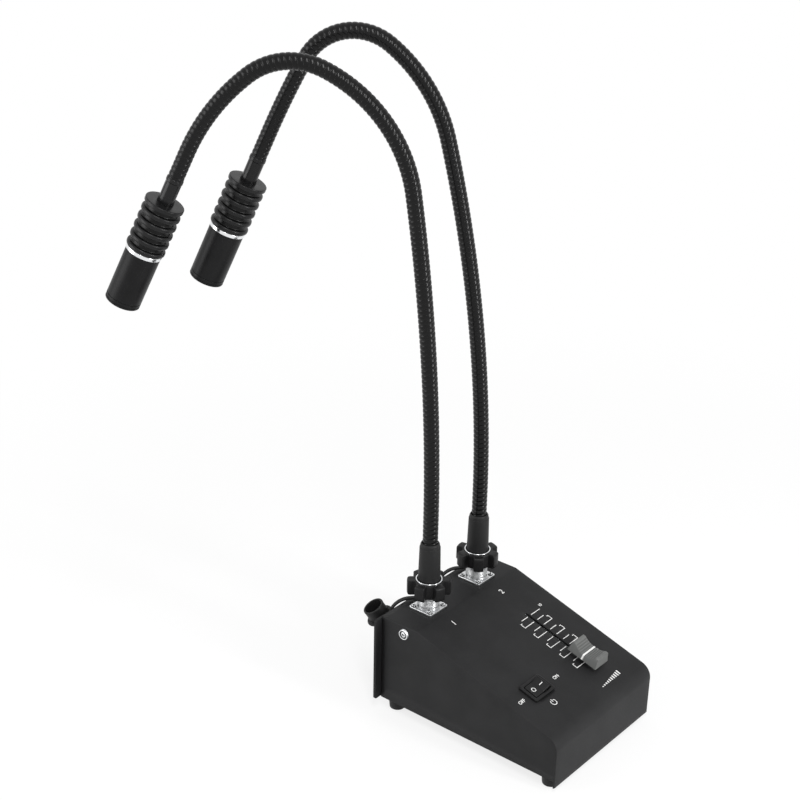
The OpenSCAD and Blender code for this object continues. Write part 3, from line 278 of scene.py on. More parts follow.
def neck_stations(side, s):
    """Centre, in-plane normal, sideways direction and tangent at distances s along a neck.

    Each run is an arc: with heading h from upright, its reach grows by the integral of sin h and its
    height by that of cos h, which for length l and turn t is l / t times the change of -cos h and sin h.
    """
    st = settings()
    azimuth, runs, drop_turn = NECK_RUNS[side]
    lengths = [ROOT_RUN] + [r[0] * MM for r in runs]
    lengths += [st.neck.total - TIP_RUN - sum(lengths), PAST_TIP]
    turns = np.radians([0.0] + [r[1] for r in runs] + [drop_turn, 0.0])
    s = np.asarray(s, float)
    heading, reach, height = np.zeros_like(s), np.zeros_like(s), np.zeros_like(s)
    start = 0.0
    for index, (run, turn) in enumerate(zip(lengths, turns)):
        part = np.minimum(s - start, run) if index == 0 else np.clip(s - start, 0, run)
        turned_by = turn * part / run
        if abs(turn) < NO_TURN:
            reach += part * np.sin(heading)
            height += part * np.cos(heading)
        else:
            radius = run / turn
            reach += radius * (np.cos(heading) - np.cos(heading + turned_by))
            height += radius * (np.sin(heading + turned_by) - np.sin(heading))
        heading += turned_by
        start += run
    a = math.radians(azimuth)
    out = np.array([math.cos(a), math.sin(a), 0.0])
    sideways = np.array([-math.sin(a), math.cos(a), 0.0])
    base = socket_frame(side)[:3, 3] + UP * st.coupling.boot_height
    c, n = np.cos(heading)[..., None], np.sin(heading)[..., None]
    return (base + reach[..., None] * out + height[..., None] * UP,
            c * out - n * UP, sideways, n * out + c * UP)


def neck_frame(side, s):
    centre, normal, sideways, tangent = neck_stations(side, np.array([s]))
    return framed(centre[0], normal[0], sideways, tangent[0])


STRAP_LEVEL, STRAP_BEND, STRAP_TURN = 11.5 * MM, 13.8 * MM, math.radians(65)
CAP_LEAN, CAP_AZIMUTH = math.radians(31), math.radians(139)
LOOP_REACH = 8.65 * MM


def strap_frame(side):
    """On the flange screw that holds a strap, +Y along the strap."""
    c = settings().coupling
    half, a = c.screw_pitch / 2, c.strap_aim
    along = framed((half, half, 0), (math.cos(a), math.sin(a), 0), (-math.sin(a), math.cos(a), 0))
    return socket_frame(side) @ along


def strap_path(t):
    """The strap's middle line from its eyelet (t = 0) to its loop (t = 1), in the strap's frame: a level run
    and then an arc over the rear edge."""
    c = settings().coupling
    run = t * (STRAP_LEVEL + STRAP_BEND * STRAP_TURN)
    bend = np.clip(run - STRAP_LEVEL, 0, None) / STRAP_BEND
    y = np.minimum(run, STRAP_LEVEL) + STRAP_BEND * np.sin(bend)
    z = c.flange_thick + c.strap / 2 - STRAP_BEND * (1 - np.cos(bend))
    return np.stack([np.zeros_like(y), y, z], -1)


def loop_frame(side):
    """Hanging dust cap: the middle of the strap's loop, +Z out of the cap's mouth."""
    aim = settings().coupling.strap_aim
    sin_lean, cos_lean = math.sin(CAP_LEAN), math.cos(CAP_LEAN)
    sin_way, cos_way = math.sin(CAP_AZIMUTH), math.cos(CAP_AZIMUTH)
    z = np.array([sin_lean * cos_way, sin_lean * sin_way, cos_lean])
    x = np.array([cos_lean * cos_way, cos_lean * sin_way, -sin_lean])
    out = np.array([-math.sin(aim), math.cos(aim), math.tan(CAP_LEAN) * math.sin(aim - CAP_AZIMUTH)])
    end = placed(strap_frame(side), strap_path(np.array([1.0]))[0])
    return framed(end + LOOP_REACH * unit(out), x, np.cross(z, x), z)


# Surfaces, worked out as whole arrays

def grid(points, wrap_rows=False, wrap_cols=False):
    """Quads between neighbouring points of a (rows, columns, 3) array, joined end to end where it wraps."""
    rows, cols = points.shape[:2]
    i = np.arange(rows if wrap_rows else rows - 1)[:, None]
    j = np.arange(cols if wrap_cols else cols - 1)[None, :]
    i2, j2 = (i + 1) % rows, (j + 1) % cols
    quads = np.stack([i * cols + j, i2 * cols + j, i2 * cols + j2, i * cols + j2], -1)
    return points.reshape(-1, 3), quads.reshape(-1, 4).tolist()


def capped(points):
    """Rows of closed outlines joined to a tube, and its two ends closed flat."""
    rows, cols = points.shape[:2]
    flat, faces = grid(points, False, True)
    return flat, faces + [list(range(cols))[::-1], list(range((rows - 1) * cols, rows * cols))]


def joined(*surfaces):
    """Several surfaces as one: their points in a row, their faces moved on to match."""
    points, faces, start = [], [], 0
    for p, f in surfaces:
        points.append(p)
        faces += [[k + start for k in face] for face in f]
        start += len(p)
    return np.concatenate(points), faces


TINY, LEAST_ARC, NEARLY_ONE, LESS_THAN_HALF = 1e-9, 1e-4, 0.999999, 0.499
STRAIGHT_ON = 1e-6


def rounded(corners, radius, steps=5):
    """A closed outline with each corner replaced by an arc that touches both its sides."""
    c = np.asarray(corners, float)
    radius = np.broadcast_to(np.asarray(radius, float), len(c))
    u, v = np.roll(c, 1, 0) - c, np.roll(c, -1, 0) - c
    lu, lv = np.linalg.norm(u, axis=1), np.linalg.norm(v, axis=1)
    u, v = u / lu[:, None], v / lv[:, None]
    half = np.arccos(np.clip((u * v).sum(1), -1, NEARLY_ONE)) / 2
    cut = np.minimum(radius / np.tan(half), np.minimum(lu, lv) * LESS_THAN_HALF)
    r = cut * np.tan(half)
    middle = u + v
    size = np.linalg.norm(middle, axis=1)
    straight = size < STRAIGHT_ON
    middle = middle / np.where(straight, 1, size)[:, None]
    centre = c + middle * (r / np.sin(half))[:, None]
    a, b = c + u * cut[:, None] - centre, c + v * cut[:, None] - centre
    t = np.linspace(0, 1, steps + 1)[None, :, None]
    w = np.maximum(math.pi - 2 * half, LEAST_ARC)[:, None, None]
    arc = (np.sin((1 - t) * w) * a[:, None] + np.sin(t * w) * b[:, None]) / np.sin(w)
    out = np.where(((r < TINY) | straight)[:, None, None], c[:, None], centre[:, None] + arc)
    return out.reshape(-1, 2)


def around(radius, z, place, sides):
    """Rows of points round the frame's Z axis, joined both ways. A row has one radius, or one for each side,
    and one height."""
    t = np.arange(sides) / sides * TURN
    points = np.stack([radius * np.cos(t), radius * np.sin(t), np.broadcast_to(z, (len(z), sides))], -1)
    return grid(placed(place, points), True, True)


def turned(outline, place, sides):
    """A closed outline of radius and height, turned once round the frame's Z axis."""
    return around(outline[:, :1], outline[:, 1:], place, sides)


def outward(outline):
    """Unit normals of a closed outline that runs anticlockwise."""
    along = np.roll(outline, -1, 0) - np.roll(outline, 1, 0)
    normal = np.stack([along[:, 1], -along[:, 0]], -1)
    return normal / np.maximum(np.linalg.norm(normal, axis=1, keepdims=True), 1e-12)


def lifted(flat, z):
    """Rows of flat outlines, each at its own height."""
    return np.concatenate([flat, np.broadcast_to(z, flat.shape[:2] + (1,))], -1)


def slab(outline, low, high, edge, place, steps=4):
    """A closed outline carried from low to high, drawn in by a quarter round at both ends and closed flat."""
    t = np.linspace(0, QUARTER, steps + 1)
    short, inset = edge * (1 - np.sin(t)), edge * (1 - np.cos(t))
    z = np.concatenate([low + short[::-1], high - short])[:, None, None]
    inset = np.concatenate([inset[::-1], inset])[:, None, None]
    flat = outline[None] - outward(outline)[None] * inset
    return capped(placed(place, lifted(flat, z)))


def rectangle(width, height):
    return np.array([[-1, -1], [1, -1], [1, 1], [-1, 1]]) * np.array([width, height]) / 2


def carried(section, path, side, up):
    """A closed section (across, up) carried along a path, closed flat at both ends."""
    across, rise = section[None, :, 0, None], section[None, :, 1, None]
    return capped(path[:, None] + across * side[:, None] + rise * up[:, None])


# A screw head. Its cross and the start of the shade painted round its foot are shares of the radius, the wall
# of the cross is in arms, and the depth of the cross and the fall of the dome are shares of the height
ARM_LENGTH, ARM_WIDTH, WALL_END, WALL_WIDTH = 0.62, 0.15, 1.15, 0.35
RECESS_DEPTH, DOME_FALL, SHADE_FOOT_FROM, SHADE_FOOT_FADE = 0.5, 0.35, 0.8, 6
HEAD_ROWS, HEAD_SIDES, HEAD_SQUARENESS, HEAD_SINK = 26, 48, 10, 0.02 * MM


def cross_heads(radius, height, places):
    """Domed screw heads, and their marks of painted shade: over radius q and angle t a head's height falls as
    q squared, and a cross-shaped recess with sloping walls is taken out of its middle. The marks paint shade
    into the recess and round the foot."""
    q = np.linspace(0, 1, HEAD_ROWS)[:, None]
    t = np.linspace(0, TURN, HEAD_SIDES, endpoint=False)[None, :]
    x, y = q * np.cos(t), q * np.sin(t)
    ax, ay = np.abs(x), np.abs(y)
    arm = np.minimum(np.maximum(ax / ARM_LENGTH, ay / ARM_WIDTH), np.maximum(ay / ARM_LENGTH, ax / ARM_WIDTH))
    recess = np.clip((WALL_END - arm) / WALL_WIDTH, 0, 1)
    dome = height * (1 - DOME_FALL * q ** 2) * np.sqrt(np.clip(1 - q ** HEAD_SQUARENESS, 0, 1))
    top = np.maximum(dome - RECESS_DEPTH * height * recess, 0)
    points = np.stack([radius * x, radius * y, top], -1)
    foot = np.stack([radius * x[::-1], radius * y[::-1], np.full_like(top, -HEAD_SINK)], -1)
    points = np.concatenate([points, foot])
    # Painted shade: the cross recess and a ring round the foot are marked for the screw finish to darken
    foot_shade = np.clip((q - SHADE_FOOT_FROM) * SHADE_FOOT_FADE, 0, 1)
    depth = np.concatenate([np.maximum(recess, foot_shade), np.ones_like(recess)])
    heads = joined(*(grid(placed(place, points), True, True) for place in places))
    return heads, np.tile(depth.reshape(-1), len(places))


ROWS_A_WINDING, LEAST_ROWS, BORE_STRIDE, WINDING_FULLNESS = 12, 24, 8, 2.2


def wound_hose(side, start, stop):
    """A wound gooseneck between two distances along its path, and the rounded height of its winding.

    At distance s and angle t the place in the winding is the fraction of s / pitch - t / turn, the wall
    stands out there as a half round, and the bore runs back inside so that the piece is closed.
    """
    n = settings().neck
    rows = max(int((stop - start) / n.pitch * ROWS_A_WINDING), LEAST_ROWS)
    s = np.linspace(start, stop, rows)
    t = np.arange(n.sides) / n.sides * TURN
    x = 2 * ((s[:, None] / n.pitch - t[None] / TURN) % 1.0) - 1
    crest = np.sqrt(np.clip(1 - np.abs(x) ** WINDING_FULLNESS, 0, 1))
    radius = (n.groove + (n.crest - n.groove) * crest) / 2
    inner = s[::-BORE_STRIDE] if (rows - 1) % BORE_STRIDE == 0 else np.append(s[::-BORE_STRIDE], s[0])
    s_all = np.concatenate([s, inner])
    r_all = np.concatenate([radius, np.full((len(inner), n.sides), n.bore / 2)])
    centre, normal, sideways, _ = neck_stations(side, s_all)
    points = (centre[:, None] + (r_all * np.cos(t))[..., None] * normal[:, None]
              + (r_all * np.sin(t))[..., None] * sideways)
    crest_all = np.concatenate([crest, np.zeros((len(inner), n.sides))])
    return grid(points, True, True), crest_all.reshape(-1)


# Pieces

SAME_POINT = 1e-7


def piece(name, surface, finish, body=None, node=(), sharp=32.0, closed=True, mark=None):
    """Makes the object: joins doubles, turns faces outwards, smooths it up to the sharp angle and hangs it on
    its body. A mark is one value for each point, which the finish can read."""
    points, faces = surface
    mesh = bpy.data.meshes.new(name)
    mesh.from_pydata(points.tolist(), [], faces)
    if mark is not None:
        mesh.attributes.new("mark", "FLOAT", "POINT").data.foreach_set("value", mark)
    bm = bmesh.new()
    bm.from_mesh(mesh)
    bmesh.ops.remove_doubles(bm, verts=bm.verts, dist=SAME_POINT)
    bmesh.ops.dissolve_degenerate(bm, edges=bm.edges, dist=SAME_POINT)
    if closed:
        bmesh.ops.recalc_face_normals(bm, faces=bm.faces)
    bm.to_mesh(mesh)
    bm.free()
    mesh.shade_smooth()
    mesh.set_sharp_from_angle(angle=math.radians(sharp))
    obj = bpy.data.objects.new(name, mesh)
    bpy.context.scene.collection.objects.link(obj)
    mesh.materials.append(finish)
    if body:
        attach(obj, body)
    if node:
        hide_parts(*([node] if isinstance(node, str) else node))
    return obj


def dress(node, finish):
    """Gives a CAD node a finish."""
    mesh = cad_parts[node].data
    mesh.materials.clear()
    mesh.materials.append(finish)


# Finishes

class Field:
    """A value that varies over a surface. Arithmetic on it adds Math nodes."""

    def __init__(self, nodes, socket):
        self.nodes, self.socket = nodes, socket

    def math(self, operation, first, second):
        node = self.nodes.add("Math", {"operation": operation}, {0: first, 1: second})
        return Field(self.nodes, node.outputs[0])

    def __add__(self, other):
        return self.math("ADD", self, other)

    def __radd__(self, other):
        return self.math("ADD", other, self)

    def __sub__(self, other):
        return self.math("SUBTRACT", self, other)

    def __rsub__(self, other):
        return self.math("SUBTRACT", other, self)

    def __mul__(self, other):
        return self.math("MULTIPLY", self, other)

    def __rmul__(self, other):
        return self.math("MULTIPLY", other, self)

    def __pow__(self, other):
        return self.math("POWER", self, other)

    def between(self, low, high):
        """0 below low, 1 above high, smooth between them."""
        node = self.nodes.add("MapRange", {"interpolation_type": "SMOOTHSTEP"},
                              {"Value": self, "From Min": low, "From Max": high})
        return Field(self.nodes, node.outputs[0])


class Nodes:
    """A node tree, and the one way to add a node to it."""

    def __init__(self, tree):
        self.tree = tree

    def add(self, kind, choices=None, inputs=None):
        """Adds one node: its choices first, then the values or links of its sockets."""
        node = self.tree.nodes.new("ShaderNode" + kind)
        for key, value in (choices or {}).items():
            setattr(node, key, value)
        for key, value in (inputs or {}).items():
            self.feed(node.inputs[key], value)
        return node

    def feed(self, socket, value):
        value = value.socket if isinstance(value, Field) else value
        if isinstance(value, bpy.types.NodeSocket):
            self.tree.links.new(value, socket)
        elif hasattr(value, "__len__") and len(value) == 3 and len(socket.default_value) == 4:
            socket.default_value = (*value, 1.0)
        else:
            socket.default_value = value

    def seen(self):
        """1 or more where the camera, gloss or glass looks, and 0 for light."""
        rays = self.add("LightPath").outputs
        return (Field(self, rays["Is Camera Ray"]) + Field(self, rays["Is Glossy Ray"])
                + Field(self, rays["Is Transmission Ray"]))


class Finish(Nodes):
    """A material with a principled shader, and the ways to vary it over a surface."""

    def __init__(self, name):
        self.material = bpy.data.materials.new(name)
        self.material.use_nodes = True
        super().__init__(self.material.node_tree)
        self.shader = self.tree.nodes["Principled BSDF"]
        self.place = self.add("TexCoord").outputs["Object"]

    def noise(self, scale, detail=2.0, rough=0.5, stretch=None):
        place = self.place
        if stretch:
            place = self.add("Mapping", {}, {"Vector": self.place, "Scale": stretch}).outputs[0]
        inputs = {"Vector": place, "Scale": scale, "Detail": detail, "Roughness": rough}
        return Field(self, self.add("TexNoise", {}, inputs).outputs[0])

    def axis(self, name):
        return Field(self, self.add("SeparateXYZ", {}, {0: self.place}).outputs[name])

    def attribute(self, name):
        return Field(self, self.add("Attribute", {"attribute_name": name}).outputs["Fac"])

    def blend(self, amount, first, second):
        """A colour between two, by a varying amount."""
        node = self.add("Mix", {"data_type": "RGBA"}, {0: amount, 6: first, 7: second})
        return node.outputs[2]

    def bump(self, height, strength, distance):
        inputs = {"Strength": strength, "Distance": distance, "Height": height}
        return self.add("Bump", {}, inputs).outputs[0]

    def set(self, **sockets):
        for key, value in sockets.items():
            self.feed(self.shader.inputs[key.replace("_", " ").title().replace("Ior", "IOR")], value)
        return self.material


def shaded(rgb, factor):
    return tuple(min(1.0, c * factor) for c in rgb)


def powder_finish(rgb, name="powder_coat"):
    """Fine textured powder coat: close grain in the bump, faint cloudiness in colour and gloss."""
    f = Finish(name)
    grain = f.noise(1500, 2.0, 0.55)
    cloud = f.noise(38, 3.0, 0.55)
    smear = f.noise(9, 2.0, 0.5)
    speck = f.noise(2600, 0.0).between(0.70, 0.80)
    base = f.blend(cloud.between(0.3, 0.7), shaded(rgb, 0.88), shaded(rgb, 1.18))
    base = f.blend(speck * 0.35, base, shaded(rgb, 2.6))
    return f.set(base_color=base, roughness=0.46 + 0.10 * grain + 0.08 * smear, specular_ior_level=0.16,
                 normal=f.bump(grain, 0.35, 0.00012))


def plastic_finish(rgb, name, rough=0.36, grain_size=900, depth=0.00006):
    """Moulded plastic: soft orange-peel grain, handled spots that are a little glossier, and painted shade on
    marked points.
    """
    f = Finish(name)
    grain = f.noise(grain_size, 2.0, 0.5)
    worn = f.noise(60, 3.0, 0.6).between(0.45, 0.75)
    base = f.blend(worn * 0.5, rgb, shaded(rgb, 1.35))
    # Painted shade: marked points, in the finger cap's valleys, are darkened
    base = f.blend(f.attribute("mark") * 0.6, base, shaded(rgb, 0.5))
    return f.set(base_color=base, roughness=rough + 0.12 * grain - 0.07 * worn, specular_ior_level=0.18,
                 normal=f.bump(grain, 0.22, depth))


def rubber_finish(rgb):
    """Matte rubber with fine grain and a trace of dust."""
    f = Finish("rubber")
    grain = f.noise(1200, 3.0, 0.6)
    dust = f.noise(120, 4.0, 0.65).between(0.52, 0.80)
    base = f.blend(dust * 0.35, rgb, shaded(rgb, 2.4))
    return f.set(base_color=base, roughness=0.44 + 0.12 * grain + 0.10 * dust, specular_ior_level=0.20,
                 normal=f.bump(grain, 0.25, 0.00006))


def hose_finish(rgb):
    """Blackened winding: polished along its crests and dull in its grooves, with shade painted down into the
    grooves.
    """
    f = Finish("wound_hose")
    crest = f.attribute("mark")
    patch = f.noise(90, 3.0, 0.6)
    fine = f.noise(2400, 2.0, 0.5)
    # Painted shade: colour falls to a third in the grooves and is a little lighter on the crests, by the
    # winding's height
    base = f.blend(crest.between(0.1, 0.9), shaded(rgb, 0.3), shaded(rgb, 1.25))
    return f.set(base_color=base, roughness=0.36 - 0.20 * crest + 0.06 * patch, specular_ior_level=0.20,
                 normal=f.bump(fine, 0.10, 0.00003))


def anodised_finish(rgb, name="anodised", rough=0.30, shine=0.13):
    """Black anodised aluminium with faint cloudiness and a fine blasted grain, and shade painted down in its
    gaps.
    """
    f = Finish(name)
    depth = f.attribute("mark").between(0.1, 0.8)
    grain = f.noise(3000, 2.0, 0.5)
    cloud = f.noise(70, 3.0, 0.55)
    base = f.blend(cloud.between(0.3, 0.7), shaded(rgb, 0.85), shaded(rgb, 1.25))
    # Painted shade: marked points down between the fins go dark
    base = f.blend(depth, base, shaded(rgb, 0.2))
    return f.set(base_color=base, roughness=rough + 0.08 * cloud + 0.06 * grain, specular_ior_level=shine,
                 normal=f.bump(grain, 0.10, 0.00003))


def metal_finish(rgb, name, rough, streak=(1.0, 1.0, 1.0)):
    """Bright or brushed metal: streaky gloss and small stains."""
    f = Finish(name)
    lines = f.noise(900, 3.0, 0.6, streak)
    stain = f.noise(140, 3.0, 0.6).between(0.5, 0.8)
    base = f.blend(stain * 0.4, rgb, shaded(rgb, 0.72))
    return f.set(base_color=base, metallic=1.0, roughness=rough + 0.10 * lines + 0.08 * stain,
                 normal=f.bump(lines, 0.06, 0.00002))


def screw_finish(rgb):
    """Plated screw head, with shade painted into its recess and round its foot."""
    f = Finish("screw")
    depth = f.attribute("mark").between(0.15, 0.85)
    lines = f.noise(1600, 3.0, 0.6)
    # Painted shade: colour falls nearly to black where the mark is high
    base = f.blend(depth, rgb, shaded(rgb, 0.05))
    return f.set(base_color=base, metallic=1.0 - 0.5 * depth, roughness=0.18 + 0.10 * lines + 0.4 * depth,
                 normal=f.bump(lines, 0.05, 0.00002))


def ink_finish(rgb):
    """Screen-printed ink, thinner in places."""
    f = Finish("ink")
    thin = f.noise(1800, 2.0, 0.6).between(0.35, 0.65)
    return f.set(base_color=f.blend(thin, shaded(rgb, 0.82), rgb), roughness=0.55 + 0.1 * thin)


def board_finish(rgb, name):
    """Circuit board: solder mask over faint copper tracks."""
    f = Finish(name)
    track = f.add("TexBrick", {}, {"Vector": f.place, "Scale": 160.0, "Mortar Size": 0.03})
    line = Field(f, track.outputs["Fac"])
    return f.set(base_color=f.blend(line, rgb, shaded(rgb, 1.9)), roughness=0.32 + 0.12 * line)


def lens_finish():
    """Clear moulded optic with the faintest ripple."""
    f = Finish("clear_optic")
    ripple = f.noise(260, 2.0, 0.5)
    return f.set(base_color=(0.93, 0.95, 0.97), roughness=0.03 + 0.04 * ripple, ior=1.49,
                 transmission_weight=0.85, normal=f.bump(ripple, 0.05, 0.00005))


def floor_finish(rgb):
    """Matte floor that still takes the object's shadow: to the camera, gloss and glass it is mostly plain
    white, and wholly so away from the object."""
    near, far, least = 0.25, 0.75, 0.78
    f = Finish("floor")
    grain = f.noise(30, 2.0, 0.5)
    f.set(base_color=f.blend(grain, shaded(rgb, 0.985), rgb), roughness=0.9, specular_ior_level=0.0)
    white = f.add("Emission", {}, {"Color": (1, 1, 1), "Strength": 1.0})
    away = (f.axis("X") ** 2 + f.axis("Y") ** 2) ** 0.5
    plain = least + (1 - least) * away.between(near, far)
    mixed = f.add("MixShader", {}, {0: f.seen() * plain, 1: f.shader.outputs[0], 2: white.outputs[0]})
    f.feed(f.tree.nodes["Material Output"].inputs[0], mixed.outputs[0])
    return f.material


FINISHES = {}


def finish(name):
    """Each finish is made once, the first time that it is asked for."""
    c = settings().finish
    makers = {
        "powder": lambda: powder_finish(c.powder),
        "panel": lambda: powder_finish(shaded(c.powder, 0.85), "panel_coat"),
        "plastic": lambda: plastic_finish(c.plastic, "black_plastic"),
        "grey": lambda: plastic_finish(c.grey, "grey_plastic", 0.42, 1400, 0.00005),
        "rubber": lambda: rubber_finish(c.rubber),
        "hose": lambda: hose_finish(c.hose),
        "anodised": lambda: anodised_finish(c.anodised),
        "sink": lambda: anodised_finish(c.anodised, "sink_black", 0.26, 0.22),
        "gloss": lambda: anodised_finish(c.anodised, "gloss_black", 0.12, 0.22),
        "chrome": lambda: metal_finish(c.chrome, "chrome", 0.10),
        # Chrome darkened as painted shade: a little on the satin flange, which is also rougher, and by half
        # on the barrel in the ring's shadow
        "satin_shaded": lambda: metal_finish(shaded(c.chrome, 0.86), "satin_chrome", 0.24),
        "nickel": lambda: metal_finish(shaded(c.chrome, 0.52), "nickel", 0.32),
        "screw": lambda: screw_finish(c.chrome),
        "zinc": lambda: metal_finish(c.zinc, "zinc", 0.24, (1.0, 1.0, 6.0)),
        "brass": lambda: metal_finish((0.62, 0.46, 0.20), "contact_brass", 0.26),
        "ink": lambda: ink_finish(c.ink),
        "board": lambda: board_finish((0.012, 0.075, 0.032), "circuit_board"),
        "component": lambda: plastic_finish((0.03, 0.03, 0.035), "component", 0.4),
        "star": lambda: board_finish((0.62, 0.63, 0.60), "light_board"),
        "lens": lens_finish,
        "floor": lambda: floor_finish(c.floor),
    }
    if name not in FINISHES:
        FINISHES[name] = makers[name]()
    return FINISHES[name]


def screws(name, radius, height, seats, node):
    """One piece of all the screw heads on these seats, its sizes in millimetres."""
    heads, mark = cross_heads(radius * MM, height * MM, seats)
    piece(name, heads, finish("screw"), "housing", node, mark=mark)


# Housing

BEZEL_LAP, SLOT_SPARE = 1.1 * MM, 2.6 * MM
# Rows of points along the cover's profile, columns across it, and decimals that tell two of them apart
LIP_ROWS, WALL_ROWS, BEND_ROWS, SLOPE_ROWS, RIDGE_ROWS, LAND_ROWS = 3, 7, 13, 24, 7, 9
EDGE_COLS, WIDTH_COLS, DROP_COLS, DECIMALS = 6, 22, 7, 7


class ILLUMINATOR_OT_housing(bpy.types.Operator):
    """Bent sheet cover with its slot and switch cut-out"""
    bl_idname = "illuminator.housing"
    bl_label = "Housing"

    def execute(self, context):
        obj = piece("cover_shell", cover_skin(), finish("powder"), "housing", "top_cover",
                    sharp=40, closed=False)
        wall = obj.modifiers.new("sheet", "SOLIDIFY")
        wall.thickness = settings().housing.sheet
        wall.offset = -1
        wall.use_even_offset = True
        return {"FINISHED"}


def cut_half(bezel):
    return bezel / 2 - BEZEL_LAP


def slot_ends():
    c = settings().controls
    return c.fader_low - SLOT_SPARE, c.fader_low + c.travel + SLOT_SPARE


def cover_profile():
    """Front wall, slope and land as one line of (y, z) with its outward normals and the station of each
    point: bends are arcs that touch both their sides. Rows fall on the ends of the slot and the cut-out."""
    h, c = settings().housing, settings().controls
    a = slope_angle()
    front, rear = -h.depth / 2, h.depth / 2
    corner, ridge = np.array([front, h.front_height]), np.array([rear - h.land_depth, h.land_height])
    along = np.array([math.cos(a), math.sin(a)])
    cut_front = h.front_bend * math.tan((QUARTER - a) / 2)
    cut_ridge = h.ridge_bend * math.tan(a / 2)
    wall_top = h.front_height - cut_front
    z = np.concatenate([np.linspace(h.front_lift, h.side_lift, LIP_ROWS)[:-1],
                        np.linspace(h.side_lift, wall_top, WALL_ROWS)])
    wall = np.stack([np.full_like(z, front), z], -1)
    t = np.linspace(0, QUARTER - a, BEND_ROWS)[1:]
    bend = np.array([front + h.front_bend, wall_top]) + h.front_bend * np.stack([-np.cos(t), np.sin(t)], -1)
    span = np.linalg.norm(ridge - corner)
    marks = [c.switch_up - cut_half(c.bezel_length), c.switch_up + cut_half(c.bezel_length), *slot_ends()]
    ups = np.concatenate([np.linspace(cut_front, span - cut_ridge, SLOPE_ROWS)[1:], marks])
    ups = np.unique(ups.round(DECIMALS))
    slope = corner + ups[:, None] * along
    t = np.linspace(a, 0, RIDGE_ROWS)[1:]
    top = ridge + np.array([cut_ridge, -h.ridge_bend]) + h.ridge_bend * np.stack([-np.sin(t), np.cos(t)], -1)
    y = np.linspace(top[-1, 0], rear, LAND_ROWS)[1:]
    land = np.stack([y, np.full_like(y, h.land_height)], -1)
    line = np.concatenate([wall, bend, slope, top, land])
    tangent = unit(np.gradient(line, axis=0))
    normal = np.stack([-tangent[:, 1], tangent[:, 0]], -1)
    up = np.full(len(line), -1.0)
    first = len(wall) + len(bend)
    up[first:first + len(slope)] = ups
    return line, normal, up, len(wall)


def cover_skin():
    """The cover's outer face. Across the width the profile runs level and turns down a quarter round at both
    side edges; from there each side wall drops straight to its lower edge. Faces in the slot and in the
    switch's cut-out are left open."""
    h, c = settings().housing, settings().controls
    line, normal, up, wall_rows = cover_profile()
    e, half = h.edge, h.width / 2
    slot = (c.fader_x - h.slot_width / 2, c.fader_x + h.slot_width / 2)
    cut = (-c.switch_x - cut_half(c.bezel_width), -c.switch_x + cut_half(c.bezel_width))
    t = np.linspace(QUARTER, 0, EDGE_COLS)
    edge_x, edge_in = half - e + e * np.sin(t), e * (1 - np.cos(t))
    middle = np.concatenate([np.linspace(-half + e, half - e, WIDTH_COLS)[1:-1], slot, cut])
    middle = np.unique(middle.round(DECIMALS))
    x = np.concatenate([-edge_x, middle, edge_x[::-1]])
    inset = np.concatenate([edge_in, np.zeros_like(middle), edge_in[::-1]])
    yz = line[:, None] - inset[None, :, None] * normal[:, None]
    points = np.concatenate([np.broadcast_to(x[None, :, None], yz.shape[:2] + (1,)), yz], -1)
    flat, faces = grid(points)
    mid_x = (x[:-1] + x[1:]) / 2
    mid_up = np.where(np.minimum(up[:-1], up[1:]) > 0, (up[:-1] + up[1:]) / 2, -1)
    low, high = slot_ends()
    in_slot = ((mid_up > low) & (mid_up < high))[:, None] & ((mid_x > slot[0]) & (mid_x < slot[1]))[None]
    in_cut = (np.abs(mid_up - c.switch_up) < cut_half(c.bezel_length))[:, None] & (
        (mid_x > cut[0]) & (mid_x < cut[1]))[None]
    keep = ~(in_slot | in_cut).reshape(-1)
    surfaces = [(flat, [f[::-1] for f, k in zip(faces, keep) if k])]
    drop = np.linspace(0, 1, DROP_COLS)[None, :]
    for side in (LEFT, RIGHT):
        edge = points[wall_rows - 1:, 0 if side == LEFT else -1]
        wall = np.repeat(edge[:, None], drop.size, axis=1)
        wall[..., 2] = edge[:, None, 2] * (1 - drop) + h.side_lift * drop
        p, f = grid(wall)
        surfaces.append((p, [q[::-1] for q in f] if side == RIGHT else f))
    return joined(*surfaces)


FOOT_INSET, FOOT_SEAT = 8 * MM, 4 * MM
FOOT_OUTLINE = ([[2, 0], [5.25, 0], [6, 9], [2, 9]], [0.4, 0.8, 0.3, 0])
WASHER_OUTLINE = ([[1.6, 0], [3.9, 0], [3.9, 0.3], [3.4, 1.6], [2.85, 1.6], [2.6, 0.6], [1.6, 0.6]],
                  [0, 0.05, 0.15, 0.22, 0.22, 0.1, 0])
# The cup washer's inside, inward of a radius and faded over a short width, is marked for painted shade
WASHER_SIDES, CUP_SHADE_EDGE, CUP_SHADE_FADE, CUP_FLOOR = 56, 2.95 * MM, 0.2 * MM, 0.6 * MM
PANEL_CORNER, PANEL_EDGE = 1.5 * MM, 0.35 * MM
REAR_SCREW_X, REAR_SCREW_UP = 40 * MM, 15.5 * MM


